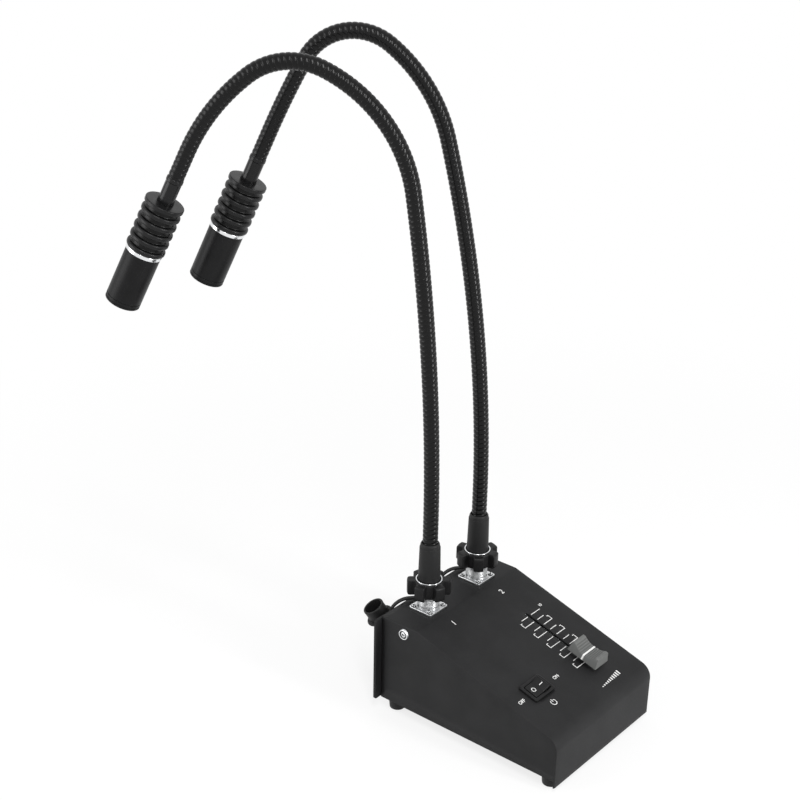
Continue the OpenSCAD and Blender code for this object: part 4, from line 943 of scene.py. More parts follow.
class ILLUMINATOR_OT_rear(bpy.types.Operator):
    """Rear panel, base plate, feet, housing screws and power inlet"""
    bl_idname = "illuminator.rear"
    bl_label = "Rear and feet"

    def execute(self, context):
        h = settings().housing
        low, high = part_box("rear_panel")
        outline = rounded(rectangle(high.x - low.x, high.z - low.z), PANEL_CORNER)
        plate = slab(outline, -PANEL_THICK, 0, PANEL_EDGE, rear_frame(0, (high.z + low.z) / 2))
        piece("rear_plate", plate, finish("panel"), "housing", "rear_panel")
        corners = [(sx * (h.width / 2 - FOOT_INSET), sy * (h.depth / 2 - FOOT_INSET))
                   for sx in (-1, 1) for sy in (-1, 1)]
        foot = rounded(*FOOT_OUTLINE) * MM
        feet = joined(*(turned(foot, framed((x, y, 0)), 48) for x, y in corners))
        piece("foot_pads", feet, finish("rubber"), "housing", "rubber_feet")
        seats = [framed((x, y, FOOT_SEAT), X, (0, -1, 0), -UP) for x, y in corners]
        screws("foot_screws", 1.9, 1.2, seats, ())
        walls = [side_screw_frame(side) for side in (LEFT, RIGHT)]
        washer = rounded(*WASHER_OUTLINE) * MM
        # Painted shade: the washer's inner cone is marked dark for the screw finish
        cup = np.repeat(np.clip((CUP_SHADE_EDGE - washer[:, 0]) / CUP_SHADE_FADE, 0, 1), WASHER_SIDES)
        piece("cup_rims", joined(*(turned(washer, wall, WASHER_SIDES) for wall in walls)), finish("screw"),
              "housing", "cup_washers", mark=np.tile(cup, len(walls)))
        seats = [wall @ framed((0, 0, CUP_FLOOR)) for wall in walls]
        screws("side_screws", 2.05, 1.15, seats, "cover_screws")
        seats = [rear_frame(x, REAR_SCREW_UP) for x in (-REAR_SCREW_X, REAR_SCREW_X)]
        screws("panel_screws", 3, 1.9, seats, "rear_screws")
        dress("base_plate", finish("panel"))
        dress("dc_inlet", finish("plastic"))
        dress("dc_inlet_nut", finish("zinc"))
        return {"FINISHED"}


# Controls

class ILLUMINATOR_OT_controls(bpy.types.Operator):
    """Fader with its finger cap, and the rocker switch"""
    bl_idname = "illuminator.controls"
    bl_label = "Controls"

    def execute(self, context):
        c = settings().controls
        place = slope_frame(c.fader_x, c.fader_low)
        # The finger cap's mark is its painted shade in the valleys
        cap, valleys = finger_cap(place)
        piece("finger_cap", cap, finish("grey"), "fader", "fader_cap", 30, mark=valleys)
        piece("index_line", index_line(place), finish("ink"), "fader", ())
        dress("slide_pot_lever", finish("plastic"))
        place = slope_frame(-c.switch_x, c.switch_up)
        piece("switch_bezel", switch_bezel(place), finish("plastic"), "housing", "switch_housing")
        tilted = rocker_frame(place)
        piece("rocker_key", rocker_key(tilted), finish("plastic"), "rocker", "switch_rocker",
              24)
        piece("rocker_marks", rocker_marks(tilted), finish("ink"), "rocker", ())
        return {"FINISHED"}


RIDGE_HEIGHT, RIDGE_PITCH, RIDGE_FADE = 0.15 * MM, 1.8 * MM, 6
CAP_END_LAND, CAP_EDGE, CAP_ROWS = 0.6 * MM, 0.45 * MM, 181
# Painted shade in the cap's valleys: where along the cap it ends, how fast it fades there, and where it
# starts up the sides
SHADE_VALLEY_END, SHADE_VALLEY_FADE, SHADE_VALLEY_SIDE = 0.85, 8, -0.25


def ridge_wave(up):
    """The cosine that puts a ridge at every pitch from the cap's middle."""
    return np.cos(up * settings().controls.cap_length / 2 / RIDGE_PITCH * TURN)


def cap_sections(up):
    """Sections of the finger cap at shares up (-1 to 1) of its length: each runs from foot to ridge on both
    sides. The ends and the sides lean in with height; between the ends the top dips as a parabola with fine
    ridges across it; a quarter round softens the top edges."""
    c = settings().controls
    reach = c.cap_length / 2 - c.end_draft - CAP_END_LAND
    q = np.clip(np.abs(up) * c.cap_length / 2 / reach, 0, 1)
    ridges = RIDGE_HEIGHT * ridge_wave(up) * np.clip((1 - q) * RIDGE_FADE, 0, 1)
    top = (c.cap_height - c.cap_hollow * (1 - q ** 2) + ridges)[:, None]
    t = np.linspace(0, QUARTER, 5)
    z = np.concatenate([np.zeros_like(top), top - CAP_EDGE + CAP_EDGE * np.sin(t)], 1)
    lean = z / c.cap_height
    x = c.cap_width / 2 - c.side_draft * lean - np.concatenate([[0], CAP_EDGE * (1 - np.cos(t))])
    y = up[:, None] * (c.cap_length / 2 - c.end_draft * lean)
    return (np.concatenate([x, -x[:, ::-1]], 1), np.concatenate([y, y[:, ::-1]], 1),
            np.concatenate([z, z[:, ::-1]], 1) + c.cap_gap)


def finger_cap(place):
    """The cap's sections carried along the slot and closed at both ends, and the painted shade of each point,
    by how deep it lies in the valleys between the ridges."""
    up = np.linspace(-1, 1, CAP_ROWS)
    x, y, z = cap_sections(up)
    # Painted shade, deepest in each valley, none at the ends and low on the sides
    valley = (1 - ridge_wave(up)) / 2 * np.clip((SHADE_VALLEY_END - np.abs(up)) * SHADE_VALLEY_FADE, 0, 1)
    side = np.clip(np.linspace(SHADE_VALLEY_SIDE, 1, x.shape[1] // 2), 0, 1)
    marks = np.outer(valley, np.concatenate([side, side[::-1]])).reshape(-1)
    return capped(placed(place, np.stack([x, y, z], -1))), marks


def index_line(place):
    """A raised stripe over the middle of the cap and down both its sides: the cap's middle section, swollen
    outwards and drawn in to its inside, carried a short way along the slot."""
    heart, foot_up, proud, deep, tuck = 0.6 * MM, 0.25 * MM, 0.12 * MM, 0.3 * MM, 0.06 * MM
    wide, level = 0.62 * MM, 0.55 * MM
    x, _, z = cap_sections(np.array([0.0]))
    outline = np.stack([x[0], z[0]], -1)
    outline[[0, -1], 1] += foot_up
    away = unit(outline - np.array([0.0, settings().controls.cap_gap + heart]))
    loop = np.concatenate([outline + away * proud, (outline - away * deep)[::-1]])
    away = np.concatenate([away, away[::-1]])
    y = np.array([-wide, -level, level, wide])
    flat = loop[None] - away[None] * (np.array([1, 0, 0, 1]) * tuck)[:, None, None]
    points = np.stack([flat[..., 0], np.broadcast_to(y[:, None], flat.shape[:2]), flat[..., 1]], -1)
    return capped(placed(place, points))


BEZEL_RIM, BEZEL_CORNER, WELL_CORNER, CORNER_STEPS = 4.4 * MM, 1.6 * MM, 0.8 * MM, 8
# Share of the way from the bezel's outside to its inside, and height in millimetres
BEZEL_ROWS = ((0, 0), (0, 1.2), (0.06, 1.55), (0.2, 1.75), (0.45, 1.8), (0.8, 1.75), (0.95, 1.6), (1, 1.3),
              (1, -9), (0.3, -9), (0.3, 0))


def switch_bezel(place):
    """A rounded frame: outer and inner rounded rectangles joined over a softly rounded top, and down into
    the well."""
    c = settings().controls
    outer = rounded(rectangle(c.bezel_width, c.bezel_length), BEZEL_CORNER, CORNER_STEPS)
    well = rectangle(c.bezel_width - BEZEL_RIM, c.bezel_length - BEZEL_RIM)
    inner = rounded(well, WELL_CORNER, CORNER_STEPS)
    share, z = np.array(BEZEL_ROWS).T[:, :, None, None]
    flat = outer * (1 - share) + inner * share
    return grid(placed(place, lifted(flat, z * MM)), True, True)


PIVOT_DOWN = 1.5 * MM
ROCKER_REACH, ROCKER_MID, ROCKER_ARM, ROCKER_TIP, ROCKER_DEEP = 8.0, 3.7, 6.6, 6.9, -4
ROCKER_HALF, ROCKER_EDGE = 4.95 * MM, 0.5 * MM
MARK_OUT, MARK_LIFT, MARK_LOW, MARK_HIGH = 3.6, 0.02, -0.05, 0.03


def tilt_frame(origin, a):
    """Turned by an angle about +Y."""
    return framed(origin, (math.cos(a), 0, -math.sin(a)), Y, (math.sin(a), 0, math.cos(a)))


def rocker_frame(place):
    """The switch's frame, turned about its pivot to the resting tilt."""
    return place @ tilt_frame((0, 0, -PIVOT_DOWN), -settings().controls.rocker_tilt)


def rocker_key(place):
    """A shallow V on top of a round-ended key, carried across the switch with soft edges."""
    reach, mid, arm, tip, deep = ROCKER_REACH, ROCKER_MID, ROCKER_ARM, ROCKER_TIP, ROCKER_DEEP
    end = mid + arm * math.tan(settings().controls.rocker_tilt)
    corners = [[-arm, deep], [arm, deep], [reach, 0], [tip, end], [0, mid], [-tip, end], [-reach, 0]]
    outline = rounded(np.array(corners) * MM, np.array([0.5, 0.5, 2.0, 0.7, 6.0, 0.7, 2.0]) * MM, 6)
    across = framed(place[:3, 3], place[:3, 0], place[:3, 2], -place[:3, 1])
    return slab(outline, -ROCKER_HALF, ROCKER_HALF, ROCKER_EDGE, across)


def rocker_marks(place):
    """A ring on one half of the key and a bar on the other, lying in each half's face."""
    tilt = settings().controls.rocker_tilt
    up = ROCKER_MID + MARK_OUT * math.tan(tilt) + MARK_LIFT
    left, right = (place @ tilt_frame(np.array([side * MARK_OUT, 0, up]) * MM, -side * tilt)
                   for side in (LEFT, RIGHT))
    ring = rounded([[1.2, MARK_LOW], [1.65, MARK_LOW], [1.65, MARK_HIGH], [1.2, MARK_HIGH]], 0) * MM
    bar = rounded(rectangle(2.9 * MM, 0.5 * MM), 0.1 * MM)
    return joined(turned(ring, left, 40), slab(bar, MARK_LOW * MM, MARK_HIGH * MM, 0.005 * MM, right))


# Printed marks: text, place across and up the slope, and height, in millimetres
WORDS = (("OFF", -45.3, 35.6, 2.5), ("ON", -8.1, 35.4, 2.5), ("10", 38.4, 83.3, 2.3), ("1", 38.0, 32.8, 2.3),
         ("1", -27.0, 107.5, 4.2), ("2", 25.8, 107.5, 4.2))
TYPE_SIZE, TYPE_WEIGHT = 1.36, 0.06 * MM
SIGN_PLACE, SIGN_STEM = (-27.6 * MM, 22.8 * MM), (-0.25, 0.25, 0.4, 2.7)
# Corners of a box: four below and four above, and its six faces
BOX = np.array([[0, 3, 2, 1], [4, 5, 6, 7], [0, 1, 5, 4], [1, 2, 6, 5], [2, 3, 7, 6], [3, 0, 4, 7]])


class ILLUMINATOR_OT_prints(bpy.types.Operator):
    """Printed scale, plain numbers and switch words on the slope"""
    bl_idname = "illuminator.prints"
    bl_label = "Printed marks"

    def execute(self, context):
        self.ink("scale_print", scale_print())
        self.ink("symbol_print", symbol_print())
        for number, word in enumerate(WORDS):
            self.ink("print_%d" % number, lettering(*word))
        return {"FINISHED"}

    def ink(self, name, surface):
        piece(name, surface, finish("ink"), "housing", (), 60)


def strokes(rectangles, place=None):
    """Thin boxes lying on the slope, one for each rectangle (x low, x high, up low, up high)."""
    lift = settings().controls.print_lift
    r = np.asarray(rectangles, float) * MM
    x = r[:, [0, 1, 1, 0, 0, 1, 1, 0]]
    y = r[:, [2, 2, 3, 3, 2, 2, 3, 3]]
    z = np.broadcast_to(np.array([-lift] * 4 + [lift] * 4) / 2, x.shape)
    points = np.stack([x, y, z + lift / 4], -1).reshape(-1, 3)
    faces = (BOX[None] + 8 * np.arange(len(r))[:, None, None]).reshape(-1, 4)
    return placed(slope_frame(0, 0) if place is None else place, points), faces.tolist()


def scale_print():
    """Ten steps on each side of the slot: long and short strokes in turn, the long ones with a short hook."""
    top, step, count, thin, rise, hook = 81.1, 5.5, 10, 0.52, 3.7, 3.4
    left_long, left_hook, left_short, left_end = 10.8, 12.6, 14.4, 21.3
    right_end, right_short, right_hook, right_long = 25.2, 32.2, 33.4, 35.1
    ups = top - step * np.arange(count)
    odd = np.arange(count) % 2 == 0
    half = thin / 2
    marks = [(left_short if o else left_long, left_end, u - half, u + half) for u, o in zip(ups, odd)]
    marks += [(right_end, right_long if o else right_short, u - half, u + half) for u, o in zip(ups, odd)]
    marks += [(left_long, left_long + thin, u, u + rise) for u in ups[~odd]]
    marks += [(left_long, left_hook, u + hook, u + hook + thin) for u in ups[~odd]]
    marks += [(right_long - thin, right_long, u, u + rise) for u in ups[odd][1:]]
    marks += [(right_hook, right_long, u + hook, u + hook + thin) for u in ups[odd][1:]]
    return strokes(marks)


def symbol_print():
    """A power sign below the switch, and a row of bars that grow in length for the fader."""
    place = slope_frame(*SIGN_PLACE)
    lift = settings().controls.print_lift
    radius, wide, opens, closes = 2.1 * MM, 0.5 * MM, math.radians(125), math.radians(415)
    first, pitch, thick, low, least, growth, count = 11.5, 2.2, 1.1, 10.4, 0.7, 0.32, 10
    t = np.linspace(opens, closes, 40)
    out = np.stack([np.cos(t), np.sin(t), np.zeros_like(t)], -1)
    path = radius * out + UP * lift / 4
    points, faces = carried(rectangle(wide, lift), path, out, np.broadcast_to(UP, out.shape))
    ring = placed(place, points), faces
    stem = strokes([SIGN_STEM], place)
    starts = [first + pitch * k for k in range(count)]
    bars = [(x, x + thick, low, low + least + growth * k) for k, x in enumerate(starts)]
    return joined(ring, stem, strokes(bars))


def lettering(text, x, up, size):
    """Plain characters on the slope, filled, thinned to the print's thickness and made a mesh."""
    lift = settings().controls.print_lift
    curve = bpy.data.curves.new("lettering", "FONT")
    curve.body, curve.size = text, size * MM * TYPE_SIZE
    curve.align_x, curve.align_y = "CENTER", "CENTER"
    curve.extrude, curve.offset = lift / 2, TYPE_WEIGHT
    text_obj = bpy.data.objects.new("lettering", curve)
    bpy.context.scene.collection.objects.link(text_obj)
    mesh = bpy.data.meshes.new_from_object(text_obj.evaluated_get(bpy.context.evaluated_depsgraph_get()))
    bpy.data.objects.remove(text_obj)
    points = np.empty(len(mesh.vertices) * 3)
    mesh.vertices.foreach_get("co", points)
    faces = [list(p.vertices) for p in mesh.polygons]
    bpy.data.meshes.remove(mesh)
    return placed(slope_frame(x * MM, up * MM), points.reshape(-1, 3) + UP * lift / 4), faces


# Couplings

FLANGE_CORNER, FLANGE_EDGE = 1.3 * MM, 0.3 * MM
HEAD_X, HEAD_Y = (0.8, 0.6, 0), (-0.6, 0.8, 0)


class ILLUMINATOR_OT_sockets(bpy.types.Operator):
    """Square flanges with their threaded barrels and screws"""
    bl_idname = "illuminator.sockets"
    bl_label = "Sockets"

    def execute(self, context):
        c = settings().coupling
        outline = rounded(rectangle(c.flange, c.flange), FLANGE_CORNER)
        half = c.screw_pitch / 2
        seats = []
        for side, name in SIDE_NAMES.items():
            place = socket_frame(side)
            plate = slab(outline, 0, c.flange_thick, FLANGE_EDGE, place)
            # The flange's chrome is a little darkened and the barrel's by half, as painted shade
            piece("socket_flange_" + name, plate, finish("satin_shaded"), "housing", "socket_" + name)
            piece("socket_barrel_" + name, threaded_barrel(place), finish("nickel"), "housing", ())
            for x in (-half, half):
                for y in (-half, half):
                    lift = c.flange_thick + (c.strap if x > 0 and y > 0 else 0)
                    seats.append(place @ framed((x, y, lift), HEAD_X, HEAD_Y))
            dress("socket_insert_" + name, finish("plastic"))
            dress("plug_shell_" + name, finish("zinc"))
        screws("flange_heads", 1.8, 1.15, seats, "flange_screws")
        return {"FINISHED"}


def threaded_barrel(place):
    """A raised boss and a barrel whose wall stands out by a rounded ridge that climbs one pitch a turn. The
    last two rows go back down the bore."""
    c = settings().coupling
    rows, sides = 150, 64
    foot, boss_top, clear, deep, bore = 1.0 * MM, 2.8 * MM, 3.6 * MM, 0.28 * MM, 5.6 * MM
    boss_z, boss_r = np.array([[1.0, 2.5, 2.7, 2.8], [7.4, 7.4, 7.3, 7.3]]) * MM
    t = np.arange(sides) / sides * TURN
    top = c.barrel_height
    z = np.linspace(boss_top, top, rows)[:, None]
    ridge = 0.5 + 0.5 * np.cos((z / c.thread - t[None] / TURN) * TURN)
    wall = c.barrel / 2 - deep * (1 - ridge) * np.clip((z - clear) / MM, 0, 1)
    radius = np.concatenate([np.repeat(boss_r[:, None], sides, 1), wall, np.full((2, sides), bore)])
    z = np.concatenate([boss_z, z[:, 0], [top, foot]])[:, None]
    return around(radius, z, place, sides)


SHOULDER_UP = 4.1 * MM
RIM_WALL, RIM_PROUD, RIM_CLEAR = 0.9, 0.5, 0.1
LOBES, LOBE_START = 6, {LEFT: math.radians(11), RIGHT: math.radians(41)}
RING_CORE, LOBE_HALF, FLANK_OUT, FLANK, RING_EDGE = 10.3 * MM, 4.2 * MM, 0.55 * MM, 1.5 * MM, 1.5 * MM
RING_SIDES, CORE_EASE, LOBE_EASE, STOP_DOWN = 288, 0.55, 0.45, 1.8 * MM
RING_INSIDE = np.array([9.5, 9.2, 8.95, 8.95, 6.3, 6.3, 7.7, 7.7, 8.0]) * MM


class ILLUMINATOR_OT_couplings(bpy.types.Operator):
    """Lobed coupling rings, their bright rims and the boots"""
    bl_idname = "illuminator.couplings"
    bl_label = "Coupling rings and boots"

    def execute(self, context):
        c = settings().coupling
        r, low = c.rim / 2 / MM, ring_shoulder() / MM + RIM_CLEAR
        high = (c.ring_lift + c.ring_height) / MM + RIM_PROUD
        corners = [[r - RIM_WALL, low], [r, low], [r, high], [r - RIM_WALL, high]]
        rim = rounded(corners, [0, 0, 0.35, 0.35]) * MM
        for side, name in SIDE_NAMES.items():
            place = socket_frame(side)
            piece("hand_ring_" + name, hand_ring(place, LOBE_START[side]), finish("plastic"), "ring_" + name,
                  "coupling_ring_" + name, 38)
            piece("bright_rim_" + name, turned(rim, place, 72), finish("chrome"), "ring_" + name,
                  "ring_rim_" + name)
            piece("neck_boot_" + name, turned(boot_outline(), place, 72), finish("rubber"), "housing",
                  "boot_" + name)
        return {"FINISHED"}


def ring_shoulder():
    """Height of the coupling ring's shoulder above the land: over the plug's stop on the barrel."""
    return settings().coupling.barrel_height + SHOULDER_UP


def lobe_radius(t, start):
    """Distance of the ring's rim at angle t: round-ended lobes with steep flanks over a round core."""
    reach = settings().coupling.ring / 2
    phase = np.abs(((t - start) / TURN * LOBES + 0.5) % 1.0 - 0.5) * TURN / LOBES
    step = np.clip((LOBE_HALF + FLANK_OUT - reach * np.sin(phase)) / FLANK, 0, 1)
    return RING_CORE + (reach - RING_CORE) * step * step * (3 - 2 * step)


def hand_ring(place, start):
    """Rows climb the outside, cross the top, go down the mouth and back through the bore. Outside rows follow
    the lobes, drawn in by a quarter round at top and bottom; inside rows are round."""
    c = settings().coupling
    low, high, shoulder, e = c.ring_lift, c.ring_lift + c.ring_height, ring_shoulder(), RING_EDGE
    t = np.arange(RING_SIDES) / RING_SIDES * TURN
    rim = lobe_radius(t, start)
    share = CORE_EASE + LOBE_EASE * (rim - rim.min()) / np.ptp(rim)
    q = np.linspace(0, QUARTER, 6)
    inset = np.concatenate([e * (1 - np.sin(q)), np.zeros(3), e * (1 - np.cos(q))])
    z_out = np.concatenate([low + e * (1 - np.cos(q)), low + (high - low) * np.arange(2, 5) / 6,
                            high - e * (1 - np.sin(q))])
    stop = shoulder - STOP_DOWN
    z_in = [high, high - 0.1 * MM, high - 0.4 * MM, shoulder, shoulder, stop, stop, low + 0.3 * MM, low]
    radius = np.concatenate([rim - inset[:, None] * share, np.repeat(RING_INSIDE[:, None], len(t), 1)])
    return around(radius, np.concatenate([z_out, z_in])[:, None], place, RING_SIDES)


def boot_outline():
    """Taper up to a narrower collar with a fine joint line below it."""
    c = settings().coupling
    foot, top = ring_shoulder() / MM + 0.3, c.boot_height / MM
    r0, r1 = c.boot / 2 / MM, c.boot_top / 2 / MM
    corners = [[6.1, foot], [r0, foot], [r1, top - 3.2], [r1 - 0.4, top - 3.1], [r1 - 0.5, top - 1.2],
               [r1 - 1.2, top], [5.45, top], [5.45, foot + 2], [6.1, foot + 2]]
    return rounded(corners, [0, 0.2, 0.3, 0.1, 0.5, 0.3, 0.1, 0, 0]) * MM


# Necks and heads

KNUCKLES = np.array([56, 140, 224, 308, 396]) * MM
HOSE_START, HOSE_LAP = -4 * MM, 1 * MM


class ILLUMINATOR_OT_necks(bpy.types.Operator):
    """Wound goosenecks, one piece for each link, cut halfway between the knuckles"""
    bl_idname = "illuminator.necks"
    bl_label = "Goosenecks"

    def execute(self, context):
        st = settings()
        end = st.neck.total - st.head.ferrule_length + HOSE_LAP
        cuts = np.concatenate([[HOSE_START], (KNUCKLES[:-1] + KNUCKLES[1:]) / 2, [end]])
        reach = st.neck.soft / 2
        last = len(KNUCKLES) - 1
        for side, name in SIDE_NAMES.items():
            links = ["neck_root_" + name] + ["neck_link_%d_%s" % (k, name) for k in range(1, 5)]
            bodies = ["housing"] + ["neck_%d_%s" % (k, name) for k in range(1, 5)] + ["head_" + name]
            for k, knuckle in enumerate(KNUCKLES):
                # crest is the winding's height, which the hose finish turns into painted shade in the grooves
                surface, crest = wound_hose(side, cuts[k], cuts[k + 1])
                obj = piece("hose_%d_%s" % (k + 1, name), surface, finish("hose"), None, links[k],
                            70, mark=crest)
                if k == last:
                    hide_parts("neck_tip_" + name)
                ends = neck_stations(side, np.array([knuckle - reach, knuckle + reach]))[0]
                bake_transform(obj)
        return {"FINISHED"}


INNER_WALL = 9.8
# Points nearer the heat sink's top than this take no painted shade
GAP_SHADE_FROM = 0.5 * MM


class ILLUMINATOR_OT_heads(bpy.types.Operator):
    """Lamp heads: ferrule, heat sink, trim ring, lens barrel and optics"""
    bl_idname = "illuminator.heads"
    bl_label = "Lamp heads"

    def execute(self, context):
        st = settings()
        h = st.head
        sides = 96
        fins = fin_outline()
        # Painted shade between the fins, growing from the fin edges in to the core
        depth = np.clip((h.sink / 2 - fins[:, 0]) / (h.sink - h.core) * 2, 0, 1) * (fins[:, 1] > GAP_SHADE_FROM)
        gaps = np.repeat(depth, sides)
        for side, name in SIDE_NAMES.items():
            place, body = neck_frame(side, st.neck.total), "head_" + name
            piece("ferrule_" + name, turned(ferrule_outline(), place, 64), finish("gloss"), body, ())
            piece("fins_" + name, turned(fins, place, sides), finish("sink"), body, "heat_sink_" + name,
                  45, mark=gaps)
            piece("trim_band_" + name, turned(trim_outline(), place, sides), finish("chrome"), body,
                  "trim_ring_" + name)
            piece("lens_tube_" + name, turned(tube_outline(), place, sides), finish("anodised"), body,
                  "lens_barrel_" + name)
            dress("lens_" + name, finish("lens"))
            dress("led_board_" + name, finish("star"))
        return {"FINISHED"}


def ferrule_outline():
    """Smooth sleeve with a rounded bead at its upper end and a slight waist, seated in the top disc."""
    h = settings().head
    r, up, bore, seat = h.ferrule / 2 / MM, -h.ferrule_length / MM, 2.4, 1.9
    corners = [[bore, up], [r, up], [r + 0.1, up + 2.4], [r - 0.2, up + 3], [r - 0.25, -4], [r, 0], [r, seat],
               [bore, seat]]
    return rounded(corners, [0, 0.7, 0.4, 0.4, 3, 0, 0, 0]) * MM


def fin_outline():
    """Top disc, round-edged fins on the core with rounded roots, and the spigot that the barrel slides
    over."""
    h = settings().head
    core, reach, total = h.core / 2 / MM, h.sink / 2 / MM, h.sink_length / MM
    disc, thick, bore, spigot, seat_up, seat = 2.8, 3.2, 2.0, 9.7, 1.95, h.ferrule / 2 / MM + 0.05
    step = (total - disc) / h.fins
    corners = [[bore, seat_up], [seat, seat_up], [seat, 0.0], [reach, 0.0], [reach, disc]]
    radii = [0, 0, 0.1, 0.6, 0.6]
    for k in range(1, h.fins + 1):
        z = disc + k * step
        corners += [[core, z - step], [core, z - thick], [reach, z - thick], [reach, z]]
        radii += [0.6, 0.6, thick * 0.42, thick * 0.42]
    end = total + (h.trim_width + h.barrel_length) / MM - 16.1
    corners += [[spigot, total], [spigot, end], [bore, end]]
    return rounded(corners, radii + [0.1, 0, 0], 6) * MM


def trim_outline():
    """Narrow bright band with rounded edges."""
    h = settings().head
    r, low, high = h.trim / 2 / MM, h.sink_length / MM, h.sink_length / MM + h.trim_width / MM
    return rounded([[INNER_WALL, low], [r, low], [r, high], [INNER_WALL, high]], [0, 0.35, 0.35, 0]) * MM


def tube_outline():
    """Lens barrel: plain wall, two fine grooves near the lens end, and a lip with a rounded rim."""
    h = settings().head
    low = (h.sink_length + h.trim_width) / MM
    high = low + h.barrel_length / MM
    r, deep, lip, lip_up = h.barrel / 2 / MM, 0.3, 8.8, 1.5
    corners, radii = [[INNER_WALL, low], [r, low]], [0, 0.25]
    for up in (4.2, 2.0):
        z = high - up
        corners += [[r, z], [r - deep, z + 0.15], [r - deep, z + 0.55], [r, z + 0.7]]
        radii += [0.08, 0.05, 0.05, 0.08]
    corners += [[r, high], [lip, high], [lip, high - lip_up], [INNER_WALL, high - lip_up]]
    return rounded(corners, radii + [0.6, 0.3, 0.1, 0]) * MM


# Dust caps and inside

LOOP_OUTLINE = ([[7.3, -0.6], [9.5, -0.6], [9.5, 0.6], [7.3, 0.6]], [0.1, 0.4, 0.4, 0.1])
EYELET_OUTLINE = ([[1.15, 1.6], [2.2, 1.6], [2.2, 2.8], [1.15, 2.8]], [0, 0.2, 0.2, 0])


class ILLUMINATOR_OT_dust_caps(bpy.types.Operator):
    """Dust caps and the rubber straps that hold them"""
    bl_idname = "illuminator.dust_caps"
    bl_label = "Dust caps"

    def execute(self, context):
        c = settings().coupling
        section = rounded(rectangle(c.strap_width, c.strap), 0.4 * MM)
        loop, eyelet = rounded(*LOOP_OUTLINE) * MM, rounded(*EYELET_OUTLINE) * MM
        for side, name in SIDE_NAMES.items():
            place, seat, body = loop_frame(side), strap_frame(side), "cap_" + name
            piece("cup_" + name, turned(cup_outline(), place, 72), finish("rubber"), body, "dust_cap_" + name)
            path = placed(seat, strap_path(np.linspace(0.03, 1.0, 60)))
            along = unit(np.gradient(path, axis=0))
            across = np.broadcast_to(seat[:3, 0], along.shape)
            band = carried(section, path, across, np.cross(across, along))
            parts = joined(band, turned(loop, place, 72), turned(eyelet, seat, 40))
            piece("strap_" + name, parts, finish("rubber"), body, "cap_strap_" + name)
        return {"FINISHED"}


def cup_outline():
    """Moulded cup: floor, a waist for the loop, a wall with a fine rim at its mouth."""
    r = settings().coupling.cap / 2 / MM
    low, mouth, wall, floor = -3.6, 9.4, 1.3, 2
    corners = [[0, low], [r, low], [r, -0.8], [r - 0.2, -0.7], [r - 0.2, 0.7], [r, 0.8],
               [r - 0.15, mouth - 1.4], [r, mouth - 1.2], [r, mouth], [r - wall, mouth],
               [r - wall, low + floor], [0, low + floor]]
    return rounded(corners, [0, 0.9, 0.1, 0.1, 0.1, 0.1, 0.1, 0.1, 0.35, 0.3, 0.6, 0]) * MM


class ILLUMINATOR_OT_inside(bpy.types.Operator):
    """Finishes of the pieces inside the housing"""
    bl_idname = "illuminator.inside"
    bl_label = "Inside"

    def execute(self, context):
        inner = {
            "zinc": ("slide_pot_body", "pot_nuts", "board_standoffs", "flange_nuts"),
            "brass": ("switch_terminals",),
            "board": ("driver_board",),
            "component": ("board_components",),
        }
        for name, nodes in inner.items():
            for node in nodes:
                dress(node, finish(name))
        return {"FINISHED"}


# Stage

FLOOR_HALF, FLOOR_DROP = 6000, 0.3 * MM
ROOM_LIGHT = 0.62
SENSOR, FARTHEST, CAMERA_SHIFT = 36, 50, (0.06555, 0.07064)
CAMERA_AIM = np.array([217.28, 337.73, 0.0]) * MM
# Place, aim and size of each light, in metres
LIGHTS = {
    "key": ((0.08, -1.0, 0.42), (0.0, 0.05, 0.25), (0.13, 0.80)),
    "top": ((-0.55, -0.50, 1.30), (0.0, 0.1, 0.25), (0.20, 0.90)),
    "fill": ((-1.2, 0.95, 0.55), (0.0, 0.05, 0.2), (0.9, 1.0)),
}


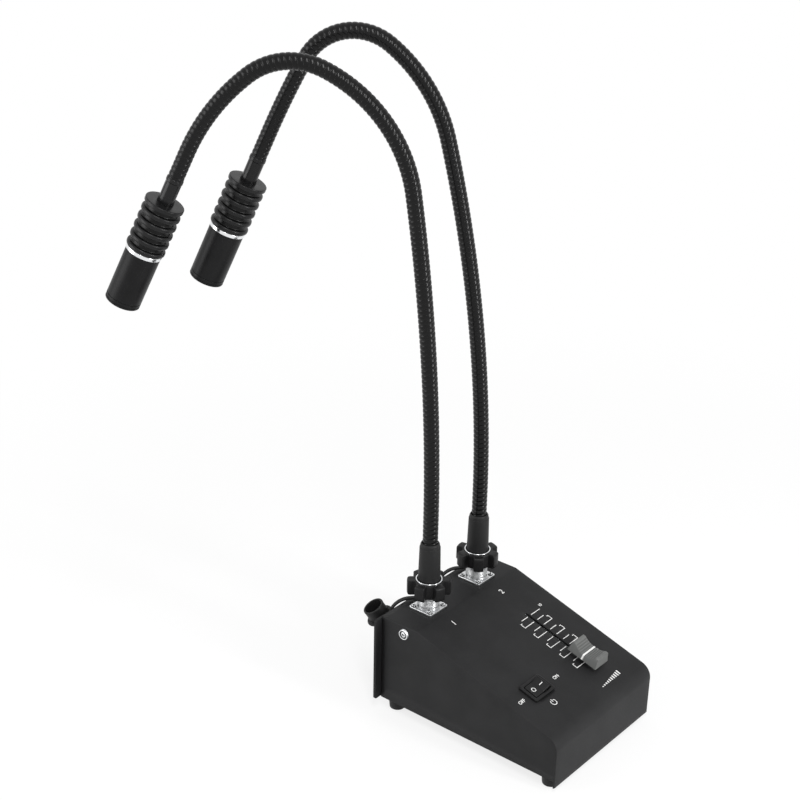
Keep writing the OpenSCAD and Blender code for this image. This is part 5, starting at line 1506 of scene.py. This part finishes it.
class ILLUMINATOR_OT_stage(bpy.types.Operator):
    """Pale floor, soft light and the camera"""
    bl_idname = "illuminator.stage"
    bl_label = "Stage"

    def execute(self, context):
        st = settings().studio
        scene = context.scene
        scene.view_settings.view_transform = "Standard"
        square = strokes([(-FLOOR_HALF, FLOOR_HALF, -FLOOR_HALF, FLOOR_HALF)], np.eye(4))
        floor = piece("floor", square, finish("floor"))
        floor.data.transform(Matrix.Translation((0, 0, -FLOOR_DROP)))
        self.world(scene)
        for name, (place, aim, size) in LIGHTS.items():
            self.light(name + "_light", place, aim, size, getattr(st, name))
        self.camera(scene, st)
        return {"FINISHED"}

    def world(self, scene):
        """White where the camera, gloss or glass sees it, and a softer level as light."""
        world = bpy.data.worlds.new("studio")
        world.use_nodes = True
        scene.world = world
        nodes = Nodes(world.node_tree)
        back = nodes.tree.nodes["Background"].inputs
        nodes.feed(back["Color"], (1, 1, 1))
        level = nodes.add("MapRange", {}, {"Value": nodes.seen(), "To Min": ROOM_LIGHT})
        nodes.feed(back["Strength"], level.outputs[0])

    def light(self, name, place, aim, size, watts):
        """A strip or a panel at a place, facing its aim."""
        data = bpy.data.lights.new(name, "AREA")
        data.shape = "RECTANGLE"
        data.energy, data.size, data.size_y = watts, size[0], size[1]
        lamp = bpy.data.objects.new(name, data)
        bpy.context.scene.collection.objects.link(lamp)
        z = unit(np.array(place, float) - np.array(aim, float))
        x = unit(np.cross(UP, z))
        lamp.matrix_world = Matrix(framed(place, x, np.cross(z, x), z).tolist())

    def camera(self, scene, st):
        """Looks from the azimuth and elevation at an aim point on the floor behind the housing."""
        data = bpy.data.cameras.new("camera")
        data.sensor_width, data.lens = SENSOR, st.focal
        data.shift_x, data.shift_y = CAMERA_SHIFT
        data.clip_end = FARTHEST
        a, e, roll = st.azimuth, st.elevation, st.roll
        back = np.array([math.sin(a) * math.cos(e), -math.cos(a) * math.cos(e), math.sin(e)])
        right = np.array([math.cos(a), math.sin(a), 0.0])
        up = np.cross(back, right)
        x = right * math.cos(roll) + up * math.sin(roll)
        y = up * math.cos(roll) - right * math.sin(roll)
        camera = bpy.data.objects.new("camera", data)
        scene.collection.objects.link(camera)
        camera.matrix_world = Matrix(framed(CAMERA_AIM + back * st.distance, x, y, back).tolist())
        scene.camera = camera


class ILLUMINATOR_PT_panel(bpy.types.Panel):
    """Lists the illuminator's pieces"""
    bl_idname = "ILLUMINATOR_PT_panel"
    bl_label = "Illuminator"
    bl_space_type = "VIEW_3D"
    bl_region_type = "UI"
    bl_category = "Illuminator"

    def draw(self, context):
        for operator in OPERATORS:
            self.layout.operator(operator.bl_idname)


SETTINGS = (HousingSettings, ControlSettings, CouplingSettings, NeckSettings, HeadSettings, FinishSettings,
            StudioSettings, IlluminatorSettings)
OPERATORS = (ILLUMINATOR_OT_housing, ILLUMINATOR_OT_rear, ILLUMINATOR_OT_controls, ILLUMINATOR_OT_prints,
             ILLUMINATOR_OT_sockets, ILLUMINATOR_OT_couplings, ILLUMINATOR_OT_necks, ILLUMINATOR_OT_heads,
             ILLUMINATOR_OT_dust_caps, ILLUMINATOR_OT_inside, ILLUMINATOR_OT_stage)
CLASSES = SETTINGS + OPERATORS + (ILLUMINATOR_PT_panel,)


def register():
    for cls in CLASSES:
        bpy.utils.register_class(cls)
    bpy.types.Scene.illuminator = PointerProperty(type=IlluminatorSettings)


def unregister():
    del bpy.types.Scene.illuminator
    for cls in reversed(CLASSES):
        bpy.utils.unregister_class(cls)


def main():
    register()
    for operator in OPERATORS:
        group, name = operator.bl_idname.split(".")
        getattr(getattr(bpy.ops, group), name)()


if __name__ == "__main__":
    main()
